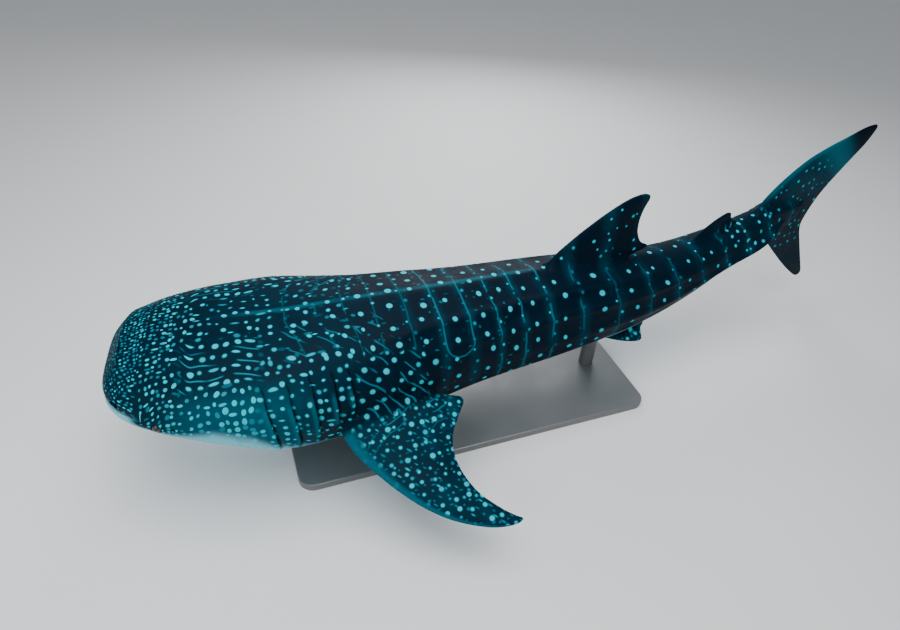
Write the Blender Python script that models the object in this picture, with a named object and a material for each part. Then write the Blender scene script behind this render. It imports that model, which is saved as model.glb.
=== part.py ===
"""Life-size still model of a young whale shark on a plain display stand.

The shark swims level with its tail curving to its right. Its body is one surface over a
station along the backbone and an angle round it, parted into nodes by thin flat cuts.
Each fin is a blade between a leading and a trailing margin, cut to fit the body.
All sizes are in metres. The snout points to -X, the left flank to -Y and the back to +Z.
"""

import math

import bmesh
import bpy
import numpy as np

# Joints between the nodes; the body is swollen a little beyond the gap before it cuts its neighbours
GAP = 0.0003
CUT_SWELL = 1.3 * GAP

# Pose: how the backbone bends, in radians for each metre, at stations from the snout
BEND_STATIONS = (0.0, 1.58, 2.65, 3.65, 4.54, 5.42, 6.9)
SIDE_BEND = (0.0, 0.141, -0.069, 0.227, -0.05, -0.161, -0.161)
RISE_STATIONS = (0.0, 1.9, 3.8, 6.9)
RISE_BEND = (0.0, 0.052, 0.047, 0.047)
MODEL_TURN = -0.13
MODEL_PITCH = 0.075
SNOUT_HEIGHT = 0.82
BASE_TO_SNOUT = 2.25
SNOUT_TO_RIGHT = 0.10
SPINE_STEP = 0.01

# Body: station, half width, height above and depth below the widest line, lift of that line
BODY_FORM = (
    (0.095, 0.484, 0.204, 0.145, -0.030),
    (0.315, 0.530, 0.268, 0.260, -0.015),
    (0.630, 0.594, 0.303, 0.385, 0.0),
    (0.945, 0.640, 0.330, 0.470, 0.0),
    (1.260, 0.588, 0.350, 0.495, 0.0),
    (1.764, 0.474, 0.372, 0.435, 0.0),
    (2.268, 0.390, 0.365, 0.365, 0.0),
    (2.835, 0.347, 0.345, 0.325, 0.0),
    (3.465, 0.288, 0.285, 0.258, 0.0),
    (4.095, 0.215, 0.214, 0.174, 0.015),
    (4.536, 0.160, 0.188, 0.114, 0.043),
    (4.914, 0.118, 0.168, 0.084, 0.085),
    (5.080, 0.078, 0.132, 0.078, 0.110),
    (5.240, 0.042, 0.070, 0.056, 0.145),
)
SIDE_FULLNESS = 0.85
TOP_FULLNESS = 0.90
AROUND = 48

# Front of the head: ring stations with the heights of the upper and lower lip
LIP_RINGS = (
    (0.045, 0.005, 0.005),
    (0.014, 0.012, 0.012),
    (0.000, 0.034, 0.030),
    (0.006, 0.066, 0.056),
    (0.022, 0.104, 0.084),
    (0.052, 0.148, 0.114),
)
MOUTH_HALF_WIDTH = 0.455
MOUTH_BOW = 0.22
BOW_LENGTH = 0.70
BOW_SHARPNESS = 3.8

# Long ridges: angle from the back, width in radians, height, first and last station
RIDGES = (
    (0.0, 0.16, 0.020, 0.9, 4.0),
    (0.62, 0.10, 0.016, 1.3, 3.9),
    (1.08, 0.10, 0.016, 1.6, 4.2),
    (1.60, 0.11, 0.014, 2.2, 5.1),
)
RIDGE_FADE = 0.6
KEEL_ANGLE = 1.60
KEEL_HEIGHT = 0.050
KEEL_MIDDLE = 4.78
KEEL_SPREAD = 0.33
KEEL_WIDTH = 0.20

# Gill flaps: five slits, from their upper to their lower ends
GILL_TOP_STATIONS = (0.85, 0.98, 1.10, 1.22, 1.31)
GILL_BOTTOM_STATIONS = (0.94, 1.05, 1.15, 1.25, 1.34)
GILL_TOP_ANGLES = (0.86, 0.84, 0.82, 0.84, 0.84)
GILL_BOTTOM_ANGLES = (2.28, 2.22, 2.10, 1.92, 1.72)
GILL_END_SOFTNESS = 0.30
# Each ring at a slit: shift beyond the slit's ends, shift and height in the middle of the slit
FLAP_RINGS = (
    (-0.040, -0.034, 0.008),
    (-0.012, 0.010, 0.013),
    (-0.004, 0.013, 0.000),
    (0.004, -0.012, -0.024),
    (0.030, 0.030, -0.012),
)

# Cuts between the nodes of the body, and stations of the plain rings in each
HEAD_END = 0.76
GILL_END = 1.46
FRONT_END = 2.62
REAR_END = 3.80
HEAD_STATIONS = (0.095, 0.16, 0.25, 0.36, 0.48, 0.62)
FRONT_STATIONS = (1.62, 1.80, 2.00, 2.22, 2.42)
REAR_STATIONS = (2.80, 3.00, 3.20, 3.40, 3.60)
TAIL_STATIONS = (3.98, 4.16, 4.34, 4.50, 4.64, 4.78, 4.92, 5.04, 5.14, 5.22, 5.26)
TAIL_END_SHRINK = 0.55

# Eyes, their rims, spiracles and nostrils
EYE_STATION = 0.315
EYE_HEIGHT = -0.050
EYE_RADIUS = 0.030
EYE_SINK = 0.012
RIM_RADIUS = 0.033
RIM_THICKNESS = 0.009
RIM_SEGMENTS = 20
RIM_SIDES = 8
SPIRACLE_SHIFT = 0.085
SPIRACLE_RADIUS = 0.013
NOSTRIL_SIDE = 0.80
NOSTRIL_HALF_LENGTH = 0.034
NOSTRIL_HALF_HEIGHT = 0.014
# Half angle between the nostrils' long axes and the crosswise direction, in radians
NOSTRIL_TURN = 1.103
# Rings and segments of the balls
EYE_FACETS = (12, 20)
SPIRACLE_FACETS = (6, 10)
NOSTRIL_FACETS = (8, 12)

# Fins: pairs of points on the leading and trailing margins, from inside the body to the tip.
# Each point is a station and a distance out from the backbone (downwards where negative).
FIRST_DORSAL = (
    ((2.70, 0.20), (3.34, 0.20)),
    ((2.79, 0.36), (3.41, 0.305)),
    ((2.86, 0.455), (3.64, 0.345)),
    ((2.94, 0.525), (3.565, 0.41)),
    ((3.06, 0.615), (3.52, 0.50)),
    ((3.22, 0.715), (3.512, 0.60)),
    ((3.37, 0.785), (3.53, 0.69)),
    ((3.48, 0.806), (3.555, 0.745)),
    ((3.53, 0.797), (3.557, 0.775)),
)
SECOND_DORSAL = (
    ((4.06, 0.10), (4.38, 0.12)),
    ((4.10, 0.235), (4.43, 0.225)),
    ((4.17, 0.290), (4.60, 0.245)),
    ((4.26, 0.336), (4.54, 0.282)),
    ((4.35, 0.368), (4.505, 0.322)),
    ((4.43, 0.382), (4.490, 0.362)),
)
ANAL = (
    ((4.22, 0.02), (4.50, 0.02)),
    ((4.30, -0.09), (4.55, -0.06)),
    ((4.37, -0.15), (4.68, -0.085)),
    ((4.45, -0.20), (4.62, -0.13)),
    ((4.53, -0.235), (4.60, -0.18)),
    ((4.58, -0.245), (4.60, -0.23)),
)
UPPER_CAUDAL = (
    ((4.74, 0.120), (5.465, -0.030)),
    ((4.84, 0.320), (5.485, 0.030)),
    ((4.95, 0.425), (5.515, 0.100)),
    ((5.10, 0.515), (5.565, 0.185)),
    ((5.27, 0.590), (5.630, 0.265)),
    ((5.46, 0.635), (5.715, 0.355)),
    ((5.66, 0.668), (5.805, 0.448)),
    ((5.83, 0.700), (5.900, 0.545)),
    ((5.94, 0.700), (5.960, 0.640)),
)
LOWER_CAUDAL = (
    ((4.74, 0.120), (5.465, -0.030)),
    ((4.99, -0.030), (5.455, -0.090)),
    ((5.13, -0.190), (5.475, -0.175)),
    ((5.26, -0.340), (5.520, -0.290)),
    ((5.39, -0.490), (5.575, -0.430)),
    ((5.52, -0.630), (5.630, -0.570)),
    ((5.61, -0.715), (5.668, -0.680)),
)
PECTORAL = (
    ((1.32, 0.36), (1.72, 0.34)),
    ((1.285, 0.50), (1.83, 0.455)),
    ((1.28, 0.60), (1.995, 0.525)),
    ((1.325, 0.71), (1.945, 0.62)),
    ((1.41, 0.84), (1.875, 0.715)),
    ((1.505, 0.965), (1.842, 0.83)),
    ((1.61, 1.085), (1.855, 0.96)),
    ((1.735, 1.19), (1.905, 1.085)),
    ((1.88, 1.268), (1.985, 1.19)),
    ((1.98, 1.298), (2.045, 1.250)),
    ((2.05, 1.302), (2.085, 1.282)),
)
PECTORAL_HEIGHT = -0.160
PECTORAL_RISE = 0.06
# Sinking for each metre out: the right fin is carried a little lower
PECTORAL_DROOP = {"left": 0.37, "right": 0.42}
PECTORAL_ROOT = (1.28, 0.53)
PELVIC = (
    ((3.12, 0.08), (3.42, 0.08)),
    ((3.19, 0.17), (3.49, 0.15)),
    ((3.26, 0.230), (3.590, 0.190)),
    ((3.35, 0.275), (3.55, 0.228)),
    ((3.44, 0.305), (3.53, 0.270)),
    ((3.485, 0.312), (3.515, 0.300)),
)
PELVIC_HEIGHT = -0.190
PELVIC_DROOP = 0.45
PELVIC_ROOT = (3.19, 0.17)
# Greatest thickness at the root and at the tip
FIN_THICKNESS = {
    "first_dorsal": (0.085, 0.020),
    "second_dorsal": (0.040, 0.012),
    "anal": (0.036, 0.012),
    "caudal": (0.052, 0.016),
    "pectoral": (0.100, 0.020),
    "pelvic": (0.036, 0.012),
}
FIN_EDGE = 0.006
ROOT_FLARE = 0.7
ROOT_FLARE_SHARPNESS = 6
CHORD_STEPS = 7
CHORD_CROWDING = 1.25
SPAN_STEPS = 2

# Stand
BASE_LENGTH = 2.60
BASE_WIDTH = 1.10
BASE_THICKNESS = 0.05
BASE_CORNER = 0.10
BASE_CORNER_STEPS = 6
BASE_BEVEL = 0.008
ROD_RADIUS = 0.055
ROD_SIDES = 32
ROD_STATIONS = (1.75, 3.32)
ROD_SINK = 0.15

# Edges sharper than these stay sharp in the shading
SHARP_SKIN_EDGE = math.radians(50)
SHARP_ROD_EDGE = math.radians(40)

# Plain finishes: colour, roughness and share of metal
SKIN_FINISH = ((0.02, 0.045, 0.075), 0.55, 0.0)
EYE_FINISH = ((0.01, 0.012, 0.015), 0.12, 0.0)
STAND_FINISH = ((0.16, 0.165, 0.17), 0.45, 0.6)


def monotone_curve(knots, values, at):
    """A smooth curve through the knots that never overshoots them (monotone cubic)."""
    knots = np.asarray(knots, float)
    values = np.asarray(values, float)
    step = np.diff(knots)
    slope = np.diff(values) / step
    tangent = np.zeros_like(values)
    same_way = slope[:-1] * slope[1:] > 0
    first = 2 * step[1:] + step[:-1]
    second = step[1:] + 2 * step[:-1]
    safe = np.where(same_way, slope[:-1] * slope[1:], 1.0)
    blend = (first + second) * safe / (first * slope[1:] + second * slope[:-1] + 1e-12 * (safe == 1.0))
    tangent[1:-1] = np.where(same_way, blend, 0.0)
    tangent[0] = slope[0]
    tangent[-1] = slope[-1]
    at = np.clip(np.asarray(at, float), knots[0], knots[-1])
    cell = np.clip(np.searchsorted(knots, at, side="right") - 1, 0, len(knots) - 2)
    t = (at - knots[cell]) / step[cell]
    h = step[cell]
    return (
        values[cell] * (1 + 2 * t) * (1 - t) ** 2
        + values[cell + 1] * t * t * (3 - 2 * t)
        + tangent[cell] * h * t * (1 - t) ** 2
        + tangent[cell + 1] * h * t * t * (t - 1)
    )


def smooth_step(value):
    """Rises smoothly from 0 to 1 as the value goes from 0 to 1."""
    value = np.clip(value, 0.0, 1.0)
    return value * value * (3 - 2 * value)


def running_sum(values):
    """The integral of values sampled along the backbone."""
    return np.concatenate([[0.0], np.cumsum(0.5 * (values[1:] + values[:-1]) * SPINE_STEP)])


def backbone():
    """Stations, places and directions of the backbone, integrated from its two bends."""
    station = np.arange(0.0, BEND_STATIONS[-1] + SPINE_STEP, SPINE_STEP)
    heading = running_sum(np.interp(station, BEND_STATIONS, SIDE_BEND))
    rise = running_sum(np.interp(station, RISE_STATIONS, RISE_BEND))
    ahead = np.stack(
        [np.cos(heading) * np.cos(rise), np.sin(heading) * np.cos(rise), np.sin(rise)], axis=1
    )
    place = np.stack([running_sum(ahead[:, axis]) for axis in range(3)], axis=1)
    return station, place, heading, rise


SPINE = backbone()


def model_frame(points):
    """Turns and pitches the bent body about its snout and lifts it onto the stand."""
    turn = np.array(
        [
            [math.cos(MODEL_TURN), -math.sin(MODEL_TURN), 0],
            [math.sin(MODEL_TURN), math.cos(MODEL_TURN), 0],
            [0, 0, 1],
        ]
    )
    pitch = np.array(
        [
            [math.cos(MODEL_PITCH), 0, math.sin(MODEL_PITCH)],
            [0, 1, 0],
            [-math.sin(MODEL_PITCH), 0, math.cos(MODEL_PITCH)],
        ]
    )
    return points @ (pitch @ turn).T + np.array([-BASE_TO_SNOUT, SNOUT_TO_RIGHT, SNOUT_HEIGHT])


def to_model(station, side, height):
    """From a station, a distance to the shark's right and one upwards to a point of the model."""
    table, place, heading, rise = SPINE
    along = np.maximum(station, 0.0)
    psi = np.interp(along, table, heading)
    chi = np.interp(along, table, rise)
    middle = np.stack([np.interp(along, table, place[:, axis]) for axis in range(3)], axis=-1)
    right = np.stack([-np.sin(psi), np.cos(psi), 0 * psi], axis=-1)
    up = np.stack([-np.sin(chi) * np.cos(psi), -np.sin(chi) * np.sin(psi), np.cos(chi)], axis=-1)
    points = middle + side[..., None] * right + height[..., None] * up
    points[..., 0] += np.minimum(station, 0.0)
    return model_frame(points)


def form_at(column, station):
    """One column of the body's form at a station, held at its first and last rows beyond them."""
    knots = [row[0] for row in BODY_FORM]
    return monotone_curve(knots, [row[column] for row in BODY_FORM], station)


def signed_power(value, power):
    """A power of the value's size, with the value's sign."""
    return np.sign(value) * np.abs(value) ** power


def ridge_height(station, angle):
    """How far the long ridges and the tail's keel stand out of the section."""
    height = np.zeros(np.broadcast(station, angle).shape)
    from_back = np.abs(angle)
    for middle, width, tall, first, last in RIDGES:
        window = smooth_step((station - first) / RIDGE_FADE) * smooth_step((last - station) / RIDGE_FADE)
        height = height + tall * window * np.exp(-(((from_back - middle) / width) ** 2))
    keel = KEEL_HEIGHT * np.exp(-(((station - KEEL_MIDDLE) / KEEL_SPREAD) ** 2))
    return height + keel * np.exp(-(((from_back - KEEL_ANGLE) / KEEL_WIDTH) ** 2))


def section(half_width, above, below, lift, angle):
    """Side and height of a rounded section at angles from the back, positive to the right."""
    side = half_width * signed_power(np.sin(angle), SIDE_FULLNESS)
    tall = np.where(np.cos(angle) > 0, above, below)
    return side, lift + tall * signed_power(np.cos(angle), TOP_FULLNESS)


def bow_at(station):
    """How much further back a ring's flanks lie than its middle, near the snout."""
    return MOUTH_BOW * np.clip(1 - np.maximum(station, 0.0) / BOW_LENGTH, 0, 1) ** 2


def body_point(station, angle, raised=0.0):
    """Station, side and height of the body's surface at a ring station and an angle."""
    half_width = form_at(1, station)
    side, height = section(half_width, form_at(2, station), form_at(3, station), form_at(4, station), angle)
    middle = form_at(4, station)
    outward = 1 + (ridge_height(station, angle) + raised) / np.hypot(side, height - middle)
    along = station + bow_at(station) * np.abs(side / half_width) ** BOW_SHARPNESS
    return along, side * outward, middle + (height - middle) * outward


def ring_angles():
    """Angles round a ring, from the belly over the left flank, the back and the right flank."""
    return np.linspace(-math.pi, math.pi, AROUND, endpoint=False)


def plain_ring(station):
    """A ring of the body's surface at a ring station."""
    return np.stack(body_point(np.full(AROUND, station), ring_angles()), axis=1)


def lip_ring(row):
    """A ring of the lips: flat at the mouth's line and opening over the snout and the jaw."""
    station, above, below = row
    angle = ring_angles()
    share = np.clip(above / BODY_FORM[0][2], 0, 1)
    half_width = MOUTH_HALF_WIDTH + (BODY_FORM[0][1] - MOUTH_HALF_WIDTH) * share
    side, height = section(half_width, above, below, BODY_FORM[0][4], angle)
    along = station + bow_at(station) * np.abs(side / half_width) ** BOW_SHARPNESS
    return np.stack([along, side, height], axis=1)


def gill_rings():
    """Rings that step up to each gill flap's edge, fold under it and come out behind its slit."""
    angle = ring_angles()
    from_back = np.abs(angle)
    rings = []
    for slit in range(5):
        top, bottom = GILL_TOP_ANGLES[slit], GILL_BOTTOM_ANGLES[slit]
        lean = smooth_step((from_back - top) / (bottom - top))
        middle = GILL_TOP_STATIONS[slit] + (GILL_BOTTOM_STATIONS[slit] - GILL_TOP_STATIONS[slit]) * lean
        window = smooth_step((from_back - top) / GILL_END_SOFTNESS)
        window = window * smooth_step((bottom - from_back) / GILL_END_SOFTNESS)
        for rest, shift, raised in FLAP_RINGS:
            along = middle + rest + (shift - rest) * window
            rings.append(np.stack(body_point(along, angle, raised * window), axis=1))
    return rings


def tail_ring(station):
    """A ring of the tail, shrinking to a blunt end inside the root of the tail fin."""
    ring = plain_ring(min(station, BODY_FORM[-1][0]))
    last = BODY_FORM[-1][0]
    if station > last:
        middle = ring.mean(axis=0)
        ring = middle + (ring - middle) * TAIL_END_SHRINK
        ring[:, 0] = station
    return ring


def body_sections():
    """The rings of each node of the body, in order, with a cut ring at both sides of each joint."""
    cut = GAP / 2
    return {
        "head": [lip_ring(row) for row in LIP_RINGS]
        + [plain_ring(station) for station in HEAD_STATIONS + (HEAD_END - cut,)],
        "gill_region": [plain_ring(HEAD_END + cut)] + gill_rings() + [plain_ring(GILL_END - cut)],
        "trunk_front": [plain_ring(s) for s in (GILL_END + cut,) + FRONT_STATIONS + (FRONT_END - cut,)],
        "trunk_rear": [plain_ring(s) for s in (FRONT_END + cut,) + REAR_STATIONS + (REAR_END - cut,)],
        "tail_stalk": [plain_ring(REAR_END + cut)] + [tail_ring(s) for s in TAIL_STATIONS],
    }


def rings_to_mesh(rings, zip_front):
    """Points and triangles of a tube through the rings, closed at both ends."""
    count = len(rings)
    points = [to_model(ring[:, 0], ring[:, 1], ring[:, 2]) for ring in rings]
    faces = []
    for row in range(count - 1):
        for step in range(AROUND):
            near = row * AROUND + step
            beside = row * AROUND + (step + 1) % AROUND
            faces.append((near, near + AROUND, beside + AROUND))
            faces.append((near, beside + AROUND, beside))
    extra = []
    if zip_front:
        quarter = AROUND // 4
        for step in range(-quarter, quarter):
            low, next_low = step % AROUND, (step + 1) % AROUND
            high, next_high = 2 * quarter - step, 2 * quarter - step - 1
            if low != high:
                faces.append((low, next_low, high))
            if next_low != next_high:
                faces.append((next_low, next_high, high))
    else:
        extra.append((points[0].mean(axis=0), 0, False))
    extra.append((points[-1].mean(axis=0), (count - 1) * AROUND, True))
    points = np.concatenate(points)
    for middle, first, behind in extra:
        hub = len(points)
        points = np.vstack([points, middle])
        for step in range(AROUND):
            a, b = first + step, first + (step + 1) % AROUND
            faces.append((a, hub, b) if behind else (a, b, hub))
    return points, faces


def new_object(name, points, faces, smooth=True):
    """A mesh object of these points and faces, with its faces turned outwards."""
    mesh = bpy.data.meshes.new(name)
    mesh.from_pydata([tuple(point) for point in points], [], [tuple(face) for face in faces])
    work = bmesh.new()
    work.from_mesh(mesh)
    bmesh.ops.recalc_face_normals(work, faces=work.faces)
    work.to_mesh(mesh)
    work.free()
    if smooth:
        mesh.shade_smooth()
        mesh.set_sharp_from_angle(angle=SHARP_SKIN_EDGE)
    model = bpy.data.objects.new(name, mesh)
    bpy.context.scene.collection.objects.link(model)
    return model


def whole_body(swell):
    """The whole body as one closed mesh, swollen by a thin even layer, for cutting its neighbours."""
    sections = body_sections()
    rings = sections["head"][:-1] + sections["gill_region"][1:-1]
    for name in ("trunk_front", "trunk_rear"):
        rings += sections[name][:-1]
    rings += sections["tail_stalk"]
    points, faces = rings_to_mesh(rings, True)
    cutter = new_object("body_cutter", points, faces)
    work = bmesh.new()
    work.from_mesh(cutter.data)
    work.normal_update()
    moves = [vertex.normal * swell for vertex in work.verts]
    for vertex, move in zip(work.verts, moves):
        vertex.co += move
    work.to_mesh(cutter.data)
    work.free()
    cutter.hide_render = True
    cutter.display_type = "WIRE"
    return cutter


def largest_part(work):
    """Deletes all of a mesh but the connected part with the most faces."""
    left = set(work.faces)
    parts = []
    while left:
        part = {left.pop()}
        edge = list(part)
        while edge:
            face = edge.pop()
            near = {other for side in face.edges for other in side.link_faces} - part
            part |= near
            edge += near
        left -= part
        parts.append(part)
    keep = max(parts, key=len)
    bmesh.ops.delete(work, geom=[face for face in work.faces if face not in keep], context="FACES")


def boolean(model, other, operation):
    """Cuts or joins another object into this one and keeps its largest closed surface."""
    modifier = model.modifiers.new("shape", "BOOLEAN")
    modifier.operation = operation
    modifier.object = other
    bpy.context.view_layer.update()
    solved = model.evaluated_get(bpy.context.evaluated_depsgraph_get())
    work = bmesh.new()
    work.from_mesh(solved.to_mesh())
    solved.to_mesh_clear()
    model.modifiers.clear()
    bmesh.ops.triangulate(work, faces=work.faces)
    largest_part(work)
    work.to_mesh(model.data)
    work.free()


def remove_object(model):
    """Takes a cutter or another helper out of the scene."""
    bpy.data.objects.remove(model, do_unlink=True)


def curve_through(points, steps):
    """Points along a smooth curve through the given ones (a uniform Catmull-Rom spline)."""
    points = np.asarray(points, float)
    ends = np.vstack([2 * points[0] - points[1], points, 2 * points[-1] - points[-2]])
    found = []
    for index in range(len(points) - 1):
        a, b, c, d = ends[index : index + 4]
        for step in range(steps):
            t = step / steps
            found.append(
                0.5
                * (2 * b + (c - a) * t + (2 * a - 5 * b + 4 * c - d) * t**2 + (3 * b - a - 3 * c + d) * t**3)
            )
    found.append(points[-1])
    return np.array(found)


def chord_thickness(share):
    """A fin's thickness along its chord: round in front, fullest at a third and thin behind."""
    return np.sqrt(share) * (1 - share) / (math.sqrt(1 / 3) * 2 / 3)


def fin_faces(rows, columns):
    """Triangles of a closed blade whose two faces are split alike."""
    faces = []
    side = rows * columns

    def upper(row, column):
        return row * columns + column

    def lower(row, column):
        return row * columns + column + (side if column > 0 else 0)

    for row in range(rows - 1):
        for column in range(columns - 1):
            for corner, turned in ((upper, False), (lower, True)):
                a, b = corner(row, column), corner(row, column + 1)
                c, d = corner(row + 1, column + 1), corner(row + 1, column)
                for face in ((a, b, c), (a, c, d)):
                    faces.append(face[::-1] if turned else face)
        a, b = upper(row, columns - 1), lower(row, columns - 1)
        c, d = lower(row + 1, columns - 1), upper(row + 1, columns - 1)
        faces += [(a, b, c), (a, c, d)]
    for row, turned in ((0, False), (rows - 1, True)):
        for column in range(columns - 1):
            a, b = upper(row, column), upper(row, column + 1)
            c, d = lower(row, column + 1), lower(row, column)
            quad = [(a, c, b), (a, d, c)] if a != d else [(a, c, b)]
            faces += [face[::-1] if turned else face for face in quad]
    return faces


def fin_grid(margins, thickness, steps_in, steps_along):
    """Station, distance out and half thickness over a fin's span and chord."""
    lead = curve_through([pair[0] for pair in margins], steps_along)
    trail = curve_through([pair[1] for pair in margins], steps_along)
    span = np.linspace(0, 1, len(lead))[:, None]
    share = np.linspace(0, 1, steps_in + 1)[None, :] ** CHORD_CROWDING
    station = lead[:, 0:1] * (1 - share) + trail[:, 0:1] * share
    out = lead[:, 1:2] * (1 - share) + trail[:, 1:2] * share
    full = thickness[0] + (thickness[1] - thickness[0]) * span
    full = full * (1 + ROOT_FLARE * (1 - span) ** ROOT_FLARE_SHARPNESS)
    half = 0.5 * (full * chord_thickness(share) + FIN_EDGE * share)
    return station, out, half


def fin_object(name, margins, thickness, placed):
    """A blade between two margins; placed sets each face's points into the model's frame."""
    station, out, half = fin_grid(margins, thickness, CHORD_STEPS, SPAN_STEPS)
    rows, columns = station.shape
    points = np.concatenate(
        [placed(station, out, half).reshape(-1, 3), placed(station, out, -half).reshape(-1, 3)]
    )
    faces = fin_faces(rows, columns)
    used = sorted({index for face in faces for index in face})
    renumber = {old: new for new, old in enumerate(used)}
    faces = [tuple(renumber[index] for index in face) for face in faces]
    return new_object(name, points[used], faces)


def upright(station, out, half):
    """Places a fin of the middle plane: it stands up or down and is thick sideways."""
    return to_model(station, half, out)


def spread(root, height, rise, droop, side_sign):
    """Places a paired fin that spreads out and down from the body."""

    def placed(station, out, half):
        slope = math.atan(droop)
        level = height + rise * (station - root[0]) - droop * (out - root[1])
        side = side_sign * (out + half * math.sin(slope))
        return to_model(station, side, level + half * math.cos(slope))

    return placed


def lobe(margins, shift):
    """A lobe of the tail fin, its root moved off the other lobe's by half the joint's gap."""
    (lead, trail), *rest = margins
    return (((lead[0], lead[1] + shift / 2), (trail[0], trail[1] + shift / 2)), *rest)


def make_body():
    """The five nodes of the head and body."""
    sections = body_sections()
    nodes = {}
    for name, rings in sections.items():
        points, faces = rings_to_mesh(rings, name == "head")
        nodes[name] = new_object(name, points, faces)
    return nodes


def make_fins(cutter):
    """All fins, each cut back to the body's surface."""
    size = FIN_THICKNESS
    fins = {
        "first_dorsal_fin": fin_object("first_dorsal_fin", FIRST_DORSAL, size["first_dorsal"], upright),
        "second_dorsal_fin": fin_object("second_dorsal_fin", SECOND_DORSAL, size["second_dorsal"], upright),
        "anal_fin": fin_object("anal_fin", ANAL, size["anal"], upright),
        "caudal_fin_upper": fin_object("caudal_fin_upper", lobe(UPPER_CAUDAL, GAP), size["caudal"], upright),
        "caudal_fin_lower": fin_object("caudal_fin_lower", lobe(LOWER_CAUDAL, -GAP), size["caudal"], upright),
    }
    for side, sign in (("left", -1), ("right", 1)):
        pectoral = spread(PECTORAL_ROOT, PECTORAL_HEIGHT, PECTORAL_RISE, PECTORAL_DROOP[side], sign)
        pelvic = spread(PELVIC_ROOT, PELVIC_HEIGHT, 0.0, PELVIC_DROOP, sign)
        name = "pectoral_fin_" + side
        fins[name] = fin_object(name, PECTORAL, size["pectoral"], pectoral)
        name = "pelvic_fin_" + side
        fins[name] = fin_object(name, PELVIC, size["pelvic"], pelvic)
    for fin in fins.values():
        boolean(fin, cutter, "DIFFERENCE")
    return fins


def skin_frame(angle_at, station):
    """A surface point of the head and its outward direction, at a ring station and an angle."""
    small = 0.004
    stations = np.array([station, station + small, station])
    angles = np.array([angle_at, angle_at, angle_at + small])
    here, ahead, around = to_model(*body_point(stations, angles))
    outward = np.cross(ahead - here, around - here)
    outward /= np.linalg.norm(outward)
    along = (ahead - here) / np.linalg.norm(ahead - here)
    middle = to_model(*(np.array([value]) for value in (station, 0.0, 0.0)))[0]
    if np.dot(outward, here - middle) < 0:
        outward = -outward
    return here, outward, along


def ring_station_for(along, angle):
    """The ring station whose surface point at this angle lies at the wanted station."""
    station = along
    for _ in range(20):
        station += 0.7 * (along - float(body_point(np.array([station]), np.array([angle]))[0][0]))
    return station


def flank_angle(height, station):
    """The angle from the back at which the head's flank has this height."""
    tall = float(form_at(3 if height < form_at(4, station) else 2, station))
    share = (height - float(form_at(4, station))) / tall
    return math.acos(math.copysign(abs(share) ** (1 / TOP_FULLNESS), share))


def ball(name, middle, axes, sizes, facets):
    """An ellipsoid with its three half sizes along the given axes."""
    mesh = bpy.data.meshes.new(name)
    work = bmesh.new()
    rings, segments = facets
    bmesh.ops.create_uvsphere(work, u_segments=segments, v_segments=rings, radius=1.0)
    for vertex in work.verts:
        local = np.array(vertex.co) * np.array(sizes)
        vertex.co = middle + local @ axes
    bmesh.ops.recalc_face_normals(work, faces=work.faces)
    work.to_mesh(mesh)
    work.free()
    mesh.shade_smooth()
    model = bpy.data.objects.new(name, mesh)
    bpy.context.scene.collection.objects.link(model)
    return model


def rim(name, middle, axes, radius, thickness):
    """A round fold of skin, as a ring lying on the surface whose outward direction is the last axis."""
    around, tube = RIM_SEGMENTS, RIM_SIDES
    big = np.linspace(0, 2 * math.pi, around, endpoint=False)[:, None]
    small = np.linspace(0, 2 * math.pi, tube, endpoint=False)[None, :]
    reach = radius + thickness * np.cos(small)
    local = np.stack([reach * np.cos(big), reach * np.sin(big), thickness * np.sin(small) + 0 * big], axis=-1)
    points = middle + local.reshape(-1, 3) @ axes
    faces = []
    for row in range(around):
        for column in range(tube):
            a, b = row * tube + column, row * tube + (column + 1) % tube
            c, d = (row + 1) % around * tube + (column + 1) % tube, (row + 1) % around * tube + column
            faces.append((a, b, c, d))
    return new_object(name, points, faces)


def make_head_details(head):
    """Eyes in their sockets with a round rim, the spiracles behind them, and the nostrils."""
    eyes = {}
    for side, sign in (("left", -1), ("right", 1)):
        angle = sign * flank_angle(EYE_HEIGHT, EYE_STATION)
        here, outward, along = skin_frame(angle, ring_station_for(EYE_STATION, angle))
        axes = np.array([along, np.cross(outward, along), outward])
        fold = rim("fold", here, axes, RIM_RADIUS, RIM_THICKNESS)
        boolean(head, fold, "UNION")
        middle = here - outward * EYE_SINK
        socket = ball("socket", middle, axes, (EYE_RADIUS + GAP,) * 3, EYE_FACETS)
        boolean(head, socket, "DIFFERENCE")
        eyes["eye_" + side] = ball("eye_" + side, middle, axes, (EYE_RADIUS,) * 3, EYE_FACETS)
        there, out, back = skin_frame(angle, ring_station_for(EYE_STATION + SPIRACLE_SHIFT, angle))
        frame = np.array([back, np.cross(out, back), out])
        spiracle = ball("spiracle", there, frame, (SPIRACLE_RADIUS,) * 3, SPIRACLE_FACETS)
        boolean(head, spiracle, "DIFFERENCE")
        lip = lip_ring(LIP_RINGS[3])
        upper = lip[(lip[:, 2] > BODY_FORM[0][4] + 0.02) & (lip[:, 1] * sign > 0)]
        nearest = upper[np.argmin(np.abs(np.abs(upper[:, 1]) - NOSTRIL_SIDE * MOUTH_HALF_WIDTH))]
        spot = to_model(*(np.array([value]) for value in nearest))[0]
        across = np.array([math.cos(NOSTRIL_TURN), sign * math.sin(NOSTRIL_TURN), 0.0])
        ahead = np.array([-math.sin(NOSTRIL_TURN), sign * math.cos(NOSTRIL_TURN), 0.0])
        nostril_frame = np.array([across, ahead, np.array([0.0, 0.0, 1.0])])
        sizes = (NOSTRIL_HALF_LENGTH, NOSTRIL_HALF_HEIGHT, NOSTRIL_HALF_HEIGHT)
        nostril = ball("nostril", spot, nostril_frame, sizes, NOSTRIL_FACETS)
        boolean(head, nostril, "DIFFERENCE")
        for tool in (fold, socket, spiracle, nostril):
            remove_object(tool)
    return eyes


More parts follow.
